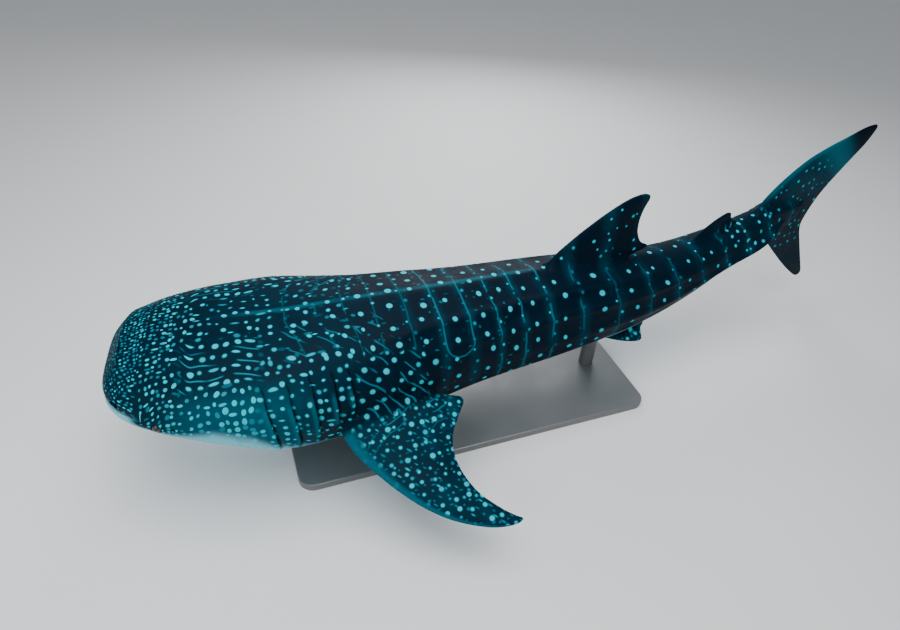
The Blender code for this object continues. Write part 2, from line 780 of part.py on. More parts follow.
def make_base():
    """A flat plate with rounded corners, centred on the origin, its underside on the floor."""
    work = bmesh.new()
    outline = []
    for quarter in range(4):
        middle_x = (BASE_LENGTH / 2 - BASE_CORNER) * (1 if quarter in (0, 3) else -1)
        middle_y = (BASE_WIDTH / 2 - BASE_CORNER) * (1 if quarter in (0, 1) else -1)
        for step in range(BASE_CORNER_STEPS + 1):
            turn = math.pi / 2 * (quarter + step / BASE_CORNER_STEPS)
            outline.append((middle_x + BASE_CORNER * math.cos(turn), middle_y + BASE_CORNER * math.sin(turn)))
    face = work.faces.new([work.verts.new((x, y, 0.0)) for x, y in outline])
    lifted = bmesh.ops.extrude_face_region(work, geom=[face])["geom"]
    raised = [item for item in lifted if isinstance(item, bmesh.types.BMVert)]
    bmesh.ops.translate(work, verts=raised, vec=(0, 0, BASE_THICKNESS))
    bmesh.ops.recalc_face_normals(work, faces=work.faces)
    top = [edge for edge in work.edges if all(vertex in raised for vertex in edge.verts)]
    bmesh.ops.bevel(work, geom=top, offset=BASE_BEVEL, segments=2, profile=0.5, affect="EDGES")
    mesh = bpy.data.meshes.new("stand_base")
    work.to_mesh(mesh)
    work.free()
    base = bpy.data.objects.new("stand_base", mesh)
    bpy.context.scene.collection.objects.link(base)
    return base


def make_rod(name, station, cutter):
    """A round rod from the base's top up to the belly, its end shaped to the belly."""
    belly = to_model(*body_point(np.array([station]), np.array([math.pi])))[0]
    bottom = BASE_THICKNESS + GAP
    top = belly[2] + ROD_SINK
    mesh = bpy.data.meshes.new(name)
    work = bmesh.new()
    bmesh.ops.create_cone(
        work, cap_ends=True, segments=ROD_SIDES, radius1=ROD_RADIUS, radius2=ROD_RADIUS, depth=top - bottom
    )
    bmesh.ops.translate(work, verts=work.verts, vec=(belly[0], belly[1], (top + bottom) / 2))
    work.to_mesh(mesh)
    work.free()
    mesh.shade_smooth()
    mesh.set_sharp_from_angle(angle=SHARP_ROD_EDGE)
    rod = bpy.data.objects.new(name, mesh)
    bpy.context.scene.collection.objects.link(rod)
    boolean(rod, cutter, "DIFFERENCE")
    return rod


def finish(model, look):
    """Gives an object its own plain material."""
    colour, roughness, metallic = look
    material = bpy.data.materials.new(model.name + "_finish")
    material.use_nodes = True
    shader = material.node_tree.nodes["Principled BSDF"]
    shader.inputs["Base Color"].default_value = (*colour, 1.0)
    shader.inputs["Roughness"].default_value = roughness
    shader.inputs["Metallic"].default_value = metallic
    model.data.materials.clear()
    model.data.materials.append(material)


def main():
    """Clears the scene, makes every node and gives each its finish."""
    for model in list(bpy.data.objects):
        bpy.data.objects.remove(model, do_unlink=True)
    cutter = whole_body(CUT_SWELL)
    body = make_body()
    fins = make_fins(cutter)
    eyes = make_head_details(body["head"])
    rods = [
        make_rod("stand_rod_front", ROD_STATIONS[0], cutter),
        make_rod("stand_rod_rear", ROD_STATIONS[1], cutter),
    ]
    remove_object(cutter)
    for model in [*body.values(), *fins.values()]:
        finish(model, SKIN_FINISH)
    for model in eyes.values():
        finish(model, EYE_FINISH)
    for model in [make_base(), *rods]:
        finish(model, STAND_FINISH)


main()
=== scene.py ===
import math
from collections import namedtuple
from functools import partialmethod

import bpy
import numpy as np
from mathutils import Matrix


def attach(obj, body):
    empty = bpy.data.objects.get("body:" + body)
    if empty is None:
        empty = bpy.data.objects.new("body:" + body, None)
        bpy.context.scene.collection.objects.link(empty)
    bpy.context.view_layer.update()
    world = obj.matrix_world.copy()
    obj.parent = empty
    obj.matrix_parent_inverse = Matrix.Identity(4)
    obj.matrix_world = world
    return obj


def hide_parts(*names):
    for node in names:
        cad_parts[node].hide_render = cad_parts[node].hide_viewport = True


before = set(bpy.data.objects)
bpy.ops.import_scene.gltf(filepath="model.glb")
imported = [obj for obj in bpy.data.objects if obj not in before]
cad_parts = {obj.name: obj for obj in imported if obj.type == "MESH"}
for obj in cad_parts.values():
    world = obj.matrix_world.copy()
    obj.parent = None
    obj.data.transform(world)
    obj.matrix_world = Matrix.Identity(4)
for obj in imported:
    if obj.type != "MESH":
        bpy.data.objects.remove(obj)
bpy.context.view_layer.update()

bl_info = {
    "name": "Whale shark display model",
    "version": (1, 0, 0),
    "blender": (4, 5, 0),
    "location": "3D View > Sidebar > Shark",
    "description": "Dresses the life-size whale shark with spotted skin, eyes, a stand and a plain studio",
    "category": "Add Mesh",
}

# Backbone: bends in radians for each metre at stations from the snout, then the whole model's turn and place
BEND_STATIONS = (0.0, 1.58, 2.65, 3.65, 4.54, 5.42, 6.9)
SIDE_BEND = (0.0, 0.141, -0.069, 0.227, -0.05, -0.161, -0.161)
RISE_STATIONS = (0.0, 1.9, 3.8, 6.9)
RISE_BEND = (0.0, 0.052, 0.047, 0.047)
SPINE_STEP = 0.01
MODEL_TURN = -0.13
MODEL_PITCH = 0.075
SNOUT_PLACE = (-2.25, 0.10, 0.82)

# Body: station, half width, height above and depth below the widest line, lift of that line
STATION, HALF_WIDTH, ABOVE, BELOW, LIFT = range(5)
BODY_FORM = np.array((
    (0.095, 0.484, 0.204, 0.145, -0.030),
    (0.315, 0.530, 0.268, 0.260, -0.015),
    (0.630, 0.594, 0.303, 0.385, 0.0),
    (0.945, 0.640, 0.330, 0.470, 0.0),
    (1.260, 0.588, 0.350, 0.495, 0.0),
    (1.764, 0.474, 0.372, 0.435, 0.0),
    (2.268, 0.390, 0.365, 0.365, 0.0),
    (2.835, 0.347, 0.345, 0.325, 0.0),
    (3.465, 0.288, 0.285, 0.258, 0.0),
    (4.095, 0.215, 0.214, 0.174, 0.015),
    (4.536, 0.160, 0.188, 0.114, 0.043),
    (4.914, 0.118, 0.168, 0.084, 0.085),
    (5.080, 0.078, 0.132, 0.078, 0.110),
    (5.240, 0.042, 0.070, 0.056, 0.145),
)).T
HEAD_START, FORM_END = BODY_FORM[STATION, 0], BODY_FORM[STATION, -1]
SIDE_FULLNESS = 0.85
TOP_FULLNESS = 0.90
# Lips: station, height above and depth below the widest line, and rings between them
LIP_RINGS = (
    (0.045, 0.005, 0.005), (0.014, 0.012, 0.012), (0.000, 0.034, 0.030), (0.006, 0.066, 0.056),
    (0.022, 0.104, 0.084), (0.052, 0.148, 0.114), (0.095, 0.204, 0.145),
)
LIP_STEPS = (3, 4, 4, 4, 4, 4)
# Lip rows over which the painted shade inside the mouth fades out
MOUTH_SHADE_ROWS = 6
LIP_FRONT_ROW = 7
MOUTH_HALF_WIDTH = 0.455
MOUTH_BOW = 0.22
BOW_LENGTH = 0.70
BOW_SHARPNESS = 3.8
# Ridges and the tail's keel: angle from the back, width, height, and first and last station or, for the keel,
# its middle and spread
RIDGES = (
    (0.0, 0.16, 0.020, 0.9, 4.0),
    (0.62, 0.10, 0.016, 1.3, 3.9),
    (1.08, 0.10, 0.016, 1.6, 4.2),
    (1.60, 0.11, 0.014, 2.2, 5.1),
)
RIDGE_FADE = 0.6
KEEL = (1.60, 0.2, 0.050, 4.78, 0.33)

# Gill flaps: stations and angles of the five slits, and each slit's rings as (station beside the slit at rest,
# station beside it where the flap stands out, height)
GILL_TOP_STATIONS = (0.85, 0.98, 1.10, 1.22, 1.31)
GILL_BOTTOM_STATIONS = (0.94, 1.05, 1.15, 1.25, 1.34)
GILL_TOP_ANGLES = (0.86, 0.84, 0.82, 0.84, 0.84)
GILL_BOTTOM_ANGLES = (2.28, 2.22, 2.10, 1.92, 1.72)
GILL_TOP_SOFTNESS = 0.20
GILL_END_SOFTNESS = 0.30
FLAP_RISE_SOFTNESS = 0.50
FLAP_RINGS = (
    (-0.040, -0.036, 0.005), (-0.012, 0.007, 0.010), (-0.004, 0.012, 0.002),
    (0.004, -0.008, -0.020), (0.030, 0.026, -0.005),
)
# Heights at which a flap's painted edge highlight and a slit's painted shade are full
FLAP_HEIGHT = 0.010
SLIT_DEPTH = 0.020
FLAP_STEPS = (3, 3, 3, 4)
STEPS_BEFORE_SLIT = 3
STEPS_AFTER_GILLS = 4

# The skin's rings
HEAD_STEP = 0.0135
HEAD_END = 0.76
GILL_END = 1.46
TRUNK_STEP = 0.045
REAR_END = 3.80
REAR_ROWS = 45
TAIL_END = 5.40
TAIL_ROWS = 9
AROUND = 256

# Eyes, with the skin's profile round them: distance from the middle, height above the skin, and painted shade
# inside the socket
EYE_STATION = 0.315
EYE_HEIGHT = -0.050
EYE_RADIUS = 0.030
EYE_SINK = 0.012
CORNEA = 0.05
EYE_ROWS, EYE_COLUMNS = 40, 64
EYE_RINGS = (
    (0.0440, 0.0003, 0), (0.0415, 0.0014, 0), (0.0390, 0.0040, 0), (0.0365, 0.0068, 0), (0.0340, 0.0084, 0),
    (0.0318, 0.0084, 0), (0.0300, 0.0070, 0.1), (0.0285, 0.0050, 0.3), (0.0272, 0.0030, 0.7),
    (0.0264, 0.0010, 1), (0.0258, -0.0030, 1), (0.0240, -0.0080, 1), (0.0200, -0.0120, 1),
)
# Spiracles behind the eyes, in the same way
SPIRACLE_SHIFT = 0.085
SPIRACLE_RINGS = (
    (0.024, 0.0002, 0), (0.0205, 0.0010, 0), (0.0175, 0.0022, 0), (0.015, 0.0024, 0), (0.0135, 0.0010, 0.2),
    (0.012, -0.003, 0.8), (0.010, -0.008, 1), (0.007, -0.012, 1), (0.003, -0.0135, 1),
)
# Shift behind the eye, profile and half the window in the head's grid that the profile fills
HEAD_PATCHES = ((0.0, EYE_RINGS, (6, 10)), (SPIRACLE_SHIFT, SPIRACLE_RINGS, (4, 4)))
PATCH_BLENDS = (0.72, 0.45, 0.2)
# Nostrils at the front of the upper lip: place to the side as a share of the mouth and up as a share of the
# lip, half sizes across, ahead and up, and depth
NOSTRIL_SIDE = 0.80
NOSTRIL_LIFT = 0.62
NOSTRIL_LIP = LIP_RINGS[3]
NOSTRIL_TURN = (0.45, 0.89)
NOSTRIL_SIZES = (0.036, 0.018, 0.016)
NOSTRIL_DEPTH = 0.013
NOSTRIL_RIM = 0.0025

# Fins: the kind that the colours know it by, thickness at the root and the tip, radius of the fillet, loops,
# steps from margin to margin, and points of the margins in pairs from inside the body to the tip, each as
# leading station and reach, trailing station and reach
Fin = namedtuple("Fin", "kind thickness fillet loops chord margins")
FIRST_DORSAL = Fin(1, (0.085, 0.020), 0.06, 46, 16, (
    (2.70, 0.20, 3.34, 0.20), (2.79, 0.36, 3.41, 0.305), (2.86, 0.455, 3.64, 0.345),
    (2.94, 0.525, 3.565, 0.41), (3.06, 0.615, 3.52, 0.50), (3.22, 0.715, 3.512, 0.60),
    (3.37, 0.785, 3.53, 0.69), (3.48, 0.806, 3.555, 0.745), (3.53, 0.797, 3.557, 0.775),
))
SECOND_DORSAL = Fin(2, (0.040, 0.012), 0.03, 30, 10, (
    (4.06, 0.10, 4.38, 0.12), (4.10, 0.235, 4.43, 0.225), (4.17, 0.290, 4.60, 0.245),
    (4.26, 0.336, 4.54, 0.282), (4.35, 0.368, 4.505, 0.322), (4.43, 0.382, 4.490, 0.362),
))
ANAL = Fin(2, (0.036, 0.012), 0.02, 26, 10, (
    (4.22, 0.02, 4.50, 0.02), (4.30, -0.09, 4.55, -0.06), (4.37, -0.15, 4.68, -0.085),
    (4.45, -0.20, 4.62, -0.13), (4.53, -0.235, 4.60, -0.18), (4.58, -0.245, 4.60, -0.23),
))
# The tail fin runs from its lower tip to its upper one
CAUDAL = Fin(3, (0.052, 0.016), 0.05, 120, 20, (
    (5.61, -0.715, 5.668, -0.680), (5.52, -0.630, 5.630, -0.570), (5.39, -0.490, 5.575, -0.430),
    (5.26, -0.340, 5.520, -0.290), (5.13, -0.190, 5.475, -0.175), (4.99, -0.030, 5.455, -0.090),
    (4.74, 0.120, 5.465, -0.030), (4.84, 0.320, 5.485, 0.030), (4.95, 0.425, 5.515, 0.100),
    (5.10, 0.515, 5.565, 0.185), (5.27, 0.590, 5.630, 0.265), (5.46, 0.635, 5.715, 0.355),
    (5.66, 0.668, 5.805, 0.448), (5.83, 0.700, 5.900, 0.545), (5.94, 0.700, 5.960, 0.640),
))
PECTORAL = Fin(4, (0.100, 0.020), 0.07, 70, 26, (
    (1.32, 0.36, 1.72, 0.34), (1.285, 0.50, 1.83, 0.455), (1.28, 0.60, 1.995, 0.525),
    (1.325, 0.71, 1.945, 0.62), (1.41, 0.84, 1.875, 0.715), (1.505, 0.965, 1.842, 0.83),
    (1.61, 1.085, 1.855, 0.96), (1.735, 1.19, 1.905, 1.085), (1.88, 1.268, 1.985, 1.19),
    (1.98, 1.298, 2.045, 1.250), (2.05, 1.302, 2.085, 1.282),
))
PELVIC = Fin(5, (0.036, 0.012), 0.03, 26, 10, (
    (3.12, 0.08, 3.42, 0.08), (3.19, 0.17, 3.49, 0.15), (3.26, 0.230, 3.590, 0.190),
    (3.35, 0.275, 3.55, 0.228), (3.44, 0.305, 3.53, 0.270), (3.485, 0.312, 3.515, 0.300),
))
# Paired fins: station and reach of the root, its height, rise backwards, and droop on the left and right
PAIRED = (
    (PECTORAL, (1.28, 0.53), -0.160, 0.06, (0.37, 0.42)),
    (PELVIC, (3.19, 0.17), -0.190, 0.0, (0.45, 0.45)),
)
CAUDAL_ROOT = 7.0
TIP_REACH = 0.175
LOOP_CROWDING = 1.35
FIN_EDGE = 0.006
ROOT_FLARE = 0.7

# Pattern: stations of the columns of big spots, pitches of the cheek's rows, the shoulder's streaks and the
# fins' dots, the angle where the pale belly starts, and the loop on the left flank
COLUMN_STATIONS = (
    0.30, 0.48, 0.61, 0.75, 0.92, 1.10, 1.28, 1.44, 1.63, 1.82, 2.01, 2.21, 2.38,
    2.58, 2.81, 3.08, 3.40, 3.65, 3.94, 4.20, 4.48, 4.74, 5.00, 5.30,
)
COLUMN_FIRST = 7
ROW_PITCH = 0.085
STREAK_PITCH = 0.075
FIN_PITCH = 0.068
BELLY_STATIONS = (0.0, 0.38, 0.60, 0.80, 1.00, 1.3, 2.0, 3.5, 5.0)
BELLY_ANGLES = (1.85, 1.76, 1.56, 1.62, 1.90, 2.12, 2.15, 2.05, 2.0)
BELLY_FADE = 0.35
LOOP_MIDDLE = 2.015
LOOP_DEPTH = 0.44
LOOP_RADIUS = 0.095
ZONE_EDGE = 0.02
# Guides stored on the skin's points, with how many numbers each holds
GUIDES = {"wrap": 3, "fields": 3, "loop": 1, "belly": 1, "deep": 1, "edge": 1, "fin": 1, "blade": 3, "flat": 3}

FLESH_NODES = (
    "head", "gill_region", "trunk_front", "trunk_rear", "tail_stalk",
    "caudal_fin_upper", "caudal_fin_lower", "first_dorsal_fin", "second_dorsal_fin", "anal_fin",
    "pectoral_fin_left", "pectoral_fin_right", "pelvic_fin_left", "pelvic_fin_right",
)


# Curves


def monotone_curve(knots, values, at):
    """Cubic through the knots that never overshoots: its slopes are harmonic means of the steps beside them."""
    step = np.diff(knots)
    slope = np.diff(values) / step
    tangent = np.zeros_like(values)
    same_way = slope[:-1] * slope[1:] > 0
    first = 2 * step[1:] + step[:-1]
    second = step[1:] + 2 * step[:-1]
    safe = np.where(same_way, slope[:-1] * slope[1:], 1.0)
    blend = (first + second) * safe / (first * slope[1:] + second * slope[:-1] + 1e-12 * (safe == 1.0))
    tangent[1:-1] = np.where(same_way, blend, 0.0)
    tangent[0] = slope[0]
    tangent[-1] = slope[-1]
    at = np.clip(np.asarray(at, float), knots[0], knots[-1])
    cell = np.clip(np.searchsorted(knots, at, side="right") - 1, 0, len(knots) - 2)
    h = step[cell]
    t = (at - knots[cell]) / h
    return (
        values[cell] * (1 + 2 * t) * (1 - t) ** 2
        + values[cell + 1] * t * t * (3 - 2 * t)
        + tangent[cell] * h * t * (1 - t) ** 2
        + tangent[cell + 1] * h * t * t * (t - 1)
    )


def smooth_step(value):
    """3v² - 2v³ with v held between 0 and 1."""
    value = np.clip(value, 0.0, 1.0)
    return value * value * (3 - 2 * value)


def spline_at(points, at):
    """Uniform Catmull-Rom spline through the points, at places counted in points from the first."""
    ends = np.vstack([2 * points[0] - points[1], points, 2 * points[-1] - points[-2]])
    cell = np.clip(np.floor(at).astype(int), 0, len(points) - 2)
    t = (at - cell)[:, None]
    a, b, c, d = (ends[cell + shift] for shift in range(4))
    square, cube = 2 * a - 5 * b + 4 * c - d, 3 * b - a - 3 * c + d
    return 0.5 * (2 * b + (c - a) * t + square * t**2 + cube * t**3)


def straight(first, second, start, end, at):
    """Straight mix of a value at the start and another at the end."""
    return (first * (end - at) + second * (at - start)) / (end - start)


def smooth_through(knots, steps):
    """Centripetal Catmull-Rom curves through rows of knots, each interval in so many steps: the place in time
    of each knot grows by the square root of its distance from the last, and three rounds of straight mixes
    between neighbours give the curve."""
    knots = np.asarray(knots, float)
    full = np.concatenate([(2 * knots[0] - knots[1])[None], knots, (2 * knots[-1] - knots[-2])[None]])
    gap = np.sqrt(np.linalg.norm(np.diff(full, axis=0), axis=-1, keepdims=True)) + 1e-5
    when = np.concatenate([np.zeros_like(gap[:1]), np.cumsum(gap, axis=0)])
    rows = []
    for index, count in enumerate(steps):
        time = when[index : index + 4]
        for step in range(count):
            at = time[1] + (time[2] - time[1]) * step / count
            mixed = full[index : index + 4]
            for ends in (((0, 1), (1, 2), (2, 3)), ((0, 2), (1, 3)), ((1, 2),)):
                mixed = [
                    straight(mixed[place], mixed[place + 1], time[start], time[end], at)
                    for place, (start, end) in enumerate(ends)
                ]
            rows.append(mixed[0])
    return np.array([*rows, knots[-1]])


# The body's own surface


def running_sum(values):
    """Area under values sampled along the backbone, by trapezia."""
    return np.concatenate([[0.0], np.cumsum(0.5 * (values[1:] + values[:-1]) * SPINE_STEP)])


def backbone():
    """Stations, places and directions of the backbone: its bends summed to headings, and those to places."""
    station = np.arange(0.0, BEND_STATIONS[-1] + SPINE_STEP, SPINE_STEP)
    heading = running_sum(np.interp(station, BEND_STATIONS, SIDE_BEND))
    rise = running_sum(np.interp(station, RISE_STATIONS, RISE_BEND))
    ahead = np.stack([np.cos(heading) * np.cos(rise), np.sin(heading) * np.cos(rise), np.sin(rise)], axis=1)
    place = np.stack([running_sum(ahead[:, axis]) for axis in range(3)], axis=1)
    return station, place, heading, rise


SPINE = backbone()


def to_model(station, side, height):
    """From station, side and height to the frame: the backbone's place plus side times its right and height
    times its up, then turned and pitched about the snout."""
    table, place, heading, rise = SPINE
    along = np.maximum(station, 0.0)
    psi = np.interp(along, table, heading)
    chi = np.interp(along, table, rise)
    middle = np.stack([np.interp(along, table, place[:, axis]) for axis in range(3)], axis=-1)
    right = np.stack([-np.sin(psi), np.cos(psi), 0 * psi], axis=-1)
    up = np.stack([-np.sin(chi) * np.cos(psi), -np.sin(chi) * np.sin(psi), np.cos(chi)], axis=-1)
    points = middle + side[..., None] * right + height[..., None] * up
    points[..., 0] += np.minimum(station, 0.0)
    turn = np.array(Matrix.Rotation(MODEL_TURN, 3, "Z"))
    pitch = np.array(Matrix.Rotation(MODEL_PITCH, 3, "Y"))
    return points @ (pitch @ turn).T + np.array(SNOUT_PLACE)


def form_at(column, station):
    """One of the body's measures at a station, on a smooth curve through the form's rows."""
    return monotone_curve(BODY_FORM[STATION], BODY_FORM[column], station)


def signed_power(value, power):
    """The size of a value to a power, with the value's sign."""
    return np.sign(value) * np.abs(value) ** power


def bell(value, middle, width):
    """1 at the middle, falling to nothing a few widths away."""
    return np.exp(-(((value - middle) / width) ** 2))


def ridge_height(station, angle):
    """Sum of bell curves round the section, each faded in and out along the body, and the tail's keel."""
    height = np.zeros(np.broadcast(station, angle).shape)
    from_back = np.abs(angle)
    for middle, width, tall, first, last in RIDGES:
        window = smooth_step((station - first) / RIDGE_FADE) * smooth_step((last - station) / RIDGE_FADE)
        height = height + tall * window * bell(from_back, middle, width)
    at, width, tall, middle, spread = KEEL
    return height + tall * bell(station, middle, spread) * bell(from_back, at, width)


def section(half_width, above, below, lift, angle):
    """Rounded section: width times a power of the sine and height times a power of the cosine."""
    side = half_width * signed_power(np.sin(angle), SIDE_FULLNESS)
    tall = np.where(np.cos(angle) > 0, above, below)
    return side, lift + tall * signed_power(np.cos(angle), TOP_FULLNESS)


def bowed(station, share):
    """Station of a ring's point: at the snout the rings bow back towards the sides, by a power of the share of
    the half width, and less and less behind it."""
    bow = MOUTH_BOW * np.clip(1 - np.maximum(station, 0.0) / BOW_LENGTH, 0, 1) ** 2
    return station + bow * np.abs(share) ** BOW_SHARPNESS


def body_point(station, angle, raised=0.0):
    """Station, side and height of the surface at a ring station and an angle from the back: the section, moved
    out from its middle by the ridges."""
    half_width, above, below, middle = (form_at(column, station) for column in (HALF_WIDTH, ABOVE, BELOW, LIFT))
    side, height = section(half_width, above, below, middle, angle)
    outward = 1 + (ridge_height(station, angle) + raised) / np.hypot(side, height - middle)
    along = bowed(station, side / half_width)
    return np.stack([along, side * outward, middle + (height - middle) * outward], axis=-1)


def skin_beneath(place):
    """For points near the body: how high the point lies above the skin as seen from the ring's middle, and the
    ring station and angle of the skin in that direction, found by stepping towards them."""
    station, side, height = place[..., 0], place[..., 1], place[..., 2]
    ring = station.copy()
    angle = np.arctan2(side, height - form_at(LIFT, ring))
    for _ in range(16):
        point = body_point(ring, angle)
        middle = form_at(LIFT, ring)
        wanted = np.arctan2(side, height - middle)
        found = np.arctan2(point[..., 1], point[..., 2] - middle)
        angle = angle + 0.7 * ((wanted - found + math.pi) % (2 * math.pi) - math.pi)
        ring = ring + 0.8 * (station - point[..., 0])
    point = body_point(ring, angle)
    middle = form_at(LIFT, ring)
    reach = np.hypot(point[..., 1], point[..., 2] - middle)
    return np.hypot(side, height - middle) - reach, ring, angle


def girth_to(ring, angle):
    """Distance round the skin from the back's middle to an angle: the sum of 40 short steps."""
    share = np.linspace(0, 1, 41)
    path = body_point(ring[..., None] + 0 * share, angle[..., None] * share)
    steps = np.linalg.norm(np.diff(path, axis=-2), axis=-1).sum(axis=-1)
    return steps * np.sign(angle)


# The body's rings, each point as station, side and height


def ring_angles():
    """Angles of a ring's points from the back, from the belly up the left side and down the right."""
    return np.linspace(-math.pi, math.pi, AROUND, endpoint=False)


def lip_rows():
    """Rings of the lips: a smooth curve through (station, height above, depth below) gives each ring."""
    rows = []
    first = BODY_FORM[:, 0]
    for station, above, below in smooth_through(LIP_RINGS, LIP_STEPS)[:-1]:
        share = np.clip(above / first[ABOVE], 0, 1)
        half_width = MOUTH_HALF_WIDTH + (first[HALF_WIDTH] - MOUTH_HALF_WIDTH) * share
        side, height = section(half_width, above, below, first[LIFT], ring_angles())
        rows.append(np.stack([bowed(station, side / half_width), side, height], axis=-1))
    return np.array(rows)


def gill_rows():
    """Rings over the gill flaps: for each angle a smooth curve through (ring station, height) at the flaps'
    rings, which steps up to the flap's edge, folds under it and comes out behind the slit. With them go a
    painted shade inside a slit, growing with the depth below the skin, how near to a flap's edge each point
    lies, for a painted highlight there, and its girth."""
    angle = ring_angles()
    from_back = np.abs(angle)
    knots = [np.stack([np.full(AROUND, HEAD_END), np.zeros(AROUND)], axis=-1)]
    steps = []
    slits = zip(GILL_TOP_STATIONS, GILL_BOTTOM_STATIONS, GILL_TOP_ANGLES, GILL_BOTTOM_ANGLES)
    for top_station, bottom_station, top, bottom in slits:
        middle = top_station + (bottom_station - top_station) * smooth_step((from_back - top) / (bottom - top))
        window = smooth_step((from_back - top) / GILL_TOP_SOFTNESS)
        window = window * smooth_step((bottom - from_back) / GILL_END_SOFTNESS)
        rise = window * smooth_step((from_back - top) / FLAP_RISE_SOFTNESS)
        for rest, shift, raised in FLAP_RINGS:
            height = raised * (rise if raised > 0 else window)
            knots.append(np.stack([middle + rest + (shift - rest) * window, height], axis=-1))
        steps += (STEPS_BEFORE_SLIT, *FLAP_STEPS)
    knots.append(np.stack([np.full(AROUND, GILL_END), np.zeros(AROUND)], axis=-1))
    found = smooth_through(knots, [*steps, STEPS_AFTER_GILLS])
    ring, height = found[..., 0], found[..., 1]
    # Painted shade inside the slits, and a painted highlight along the flaps' raised edges
    slit = np.clip(-height / SLIT_DEPTH, 0, 1)
    edge = np.clip(height / FLAP_HEIGHT, 0, 1) ** 8
    around = girth_to(ring, np.broadcast_to(angle, ring.shape))
    return body_point(ring, angle[None, :], height), slit, edge, around


def tail_rows():
    """The last rings: beyond the last form row each ring shrinks towards its middle on a quarter ellipse."""
    rear = np.linspace(REAR_END, FORM_END, REAR_ROWS, endpoint=False)
    station = np.concatenate([rear, np.linspace(FORM_END, TAIL_END, TAIL_ROWS)])
    rows = body_point(np.minimum(station, FORM_END)[:, None], ring_angles()[None, :])
    beyond = np.clip((station - FORM_END) / (TAIL_END - FORM_END), 0, 1)
    shrink = np.sqrt(1 - 0.999 * beyond**2)[:, None, None]
    middle = rows.mean(axis=1, keepdims=True)
    rows = middle + (rows - middle) * shrink
    rows[..., 0] = np.where(station > FORM_END, station, rows[:, 0, 0])[:, None]
    return rows


def head_stations():
    """Stations of the head's rings."""
    return np.arange(HEAD_START, HEAD_END, HEAD_STEP)


def body_rows():
    """All rings of the body from inside the mouth to the tail's end, a painted shade inside a slit or the
    mouth, how near to a flap's edge each point lies, and its girth, true and flat."""
    angle = ring_angles()
    lips = lip_rows()
    head = body_point(head_stations()[:, None], angle[None, :])
    gills, slit, flap_edge_highlight, gill_girth = gill_rows()
    trunk = body_point(np.arange(GILL_END, REAR_END, TRUNK_STEP)[1:, None], angle[None, :])
    rows = np.concatenate([lips, head, gills, trunk, tail_rows()])
    deep, edge = np.zeros(rows.shape[:2]), np.zeros(rows.shape[:2])
    around, flat = girth(rows), girth(rows * np.array([0.0, 1.0, 1.0]))
    # Painted shade inside the mouth, fading out over the first lip rows
    deep[: len(lips)] = np.clip(1 - np.arange(len(lips)) / MOUTH_SHADE_ROWS, 0, 1)[:, None]
    first = len(lips) + len(head)
    for whole, part in ((deep, slit), (edge, flap_edge_highlight), (around, gill_girth), (flat, gill_girth)):
        whole[first : first + len(gills)] = part
    return rows, deep, edge, around, flat


def girth(rows):
    """Distance round each ring from the back's middle, positive to the right: the running sum of the steps."""
    middle = AROUND // 2
    step = np.linalg.norm(np.diff(rows, axis=1, append=rows[:, :1]), axis=-1)
    total = np.concatenate([np.zeros((len(rows), 1)), np.cumsum(step, axis=1)[:, :-1]], axis=1)
    return total - total[:, middle : middle + 1]


def profile_length(rows):
    """Distance along the skin from the lips' front, along each line from ring to ring."""
    step = np.linalg.norm(np.diff(rows, axis=0), axis=-1)
    total = np.concatenate([np.zeros((1, AROUND)), np.cumsum(step, axis=0)])
    return total - total[LIP_FRONT_ROW]


def pattern_fields(station, around, angle):
    """The three families of lines that the pattern follows, each counted in its own pitch: columns round the
    trunk, rows along the cheek and slanting streaks on the shoulder; and the pale belly's share."""
    down = np.abs(around)
    over_gills = smooth_step((station - 0.85) / 0.2) * smooth_step((1.55 - station) / 0.25)
    lean = 0.33 * np.clip(down - 0.10, 0, 0.30) * over_gills
    lean = lean + 0.05 * np.clip(down - 0.1, 0, 1) * smooth_step((station - 1.9) / 0.5)
    columns = np.interp(station - lean, COLUMN_STATIONS, np.arange(len(COLUMN_STATIONS)) - COLUMN_FIRST)
    bend = 0.07 * (1 - smooth_step((station - 0.41) / 0.10)) - 0.03 * smooth_step((station - 0.72) / 0.15)
    wave = 0.007 * np.sin(station * 17.0 + 1.2) + 0.003 * np.sin(station * 43.0 + down * 9.0)
    rows = (down + bend - 0.27 + wave) / ROW_PITCH + 0.5
    streaks = (down - 0.95 * station - 0.25 * (station - 1.4) ** 2 + 0.93) / 1.38 / STREAK_PITCH
    start = np.interp(station, BELLY_STATIONS, BELLY_ANGLES)
    belly = smooth_step((np.abs(angle) - start) / BELLY_FADE) * smooth_step((4.95 - station) / 0.35)
    return np.stack([columns, rows, streaks], axis=-1), belly


def loop_distance(station, around):
    """Signed distance to the loop on the left flank: two lines down it, joined by half a circle below."""
    below = np.clip(-around - LOOP_DEPTH, 0, None)
    return np.hypot(station - LOOP_MIDDLE, below) - LOOP_RADIUS


# Faces


def ring_faces(rows, columns, keep=None):
    """Quads between neighbouring rings, closed round; keep may leave some out."""
    row, column = np.meshgrid(np.arange(rows - 1) * columns, np.arange(columns), indexing="ij")
    beside = (column + 1) % columns
    faces = np.stack([row + column, row + columns + column, row + columns + beside, row + beside], axis=-1)
    return faces.reshape(-1, 4) if keep is None else faces[keep]


def hub_faces(first, count, hub, turned):
    """Triangles from a ring to a point in its middle."""
    here = first + np.arange(count)
    beside = first + (np.arange(count) + 1) % count
    middle = np.full(count, hub)
    return np.stack([here, middle, beside] if turned else [here, beside, middle], axis=-1)


def closed_faces(rows, columns, keep=None):
    """Faces of rings that are closed at both ends by two points, which follow the rings' points."""
    count = rows * columns
    ends = [hub_faces(0, columns, count, False), hub_faces(count - columns, columns, count + 1, True)]
    return [ring_faces(rows, columns, keep), *ends]


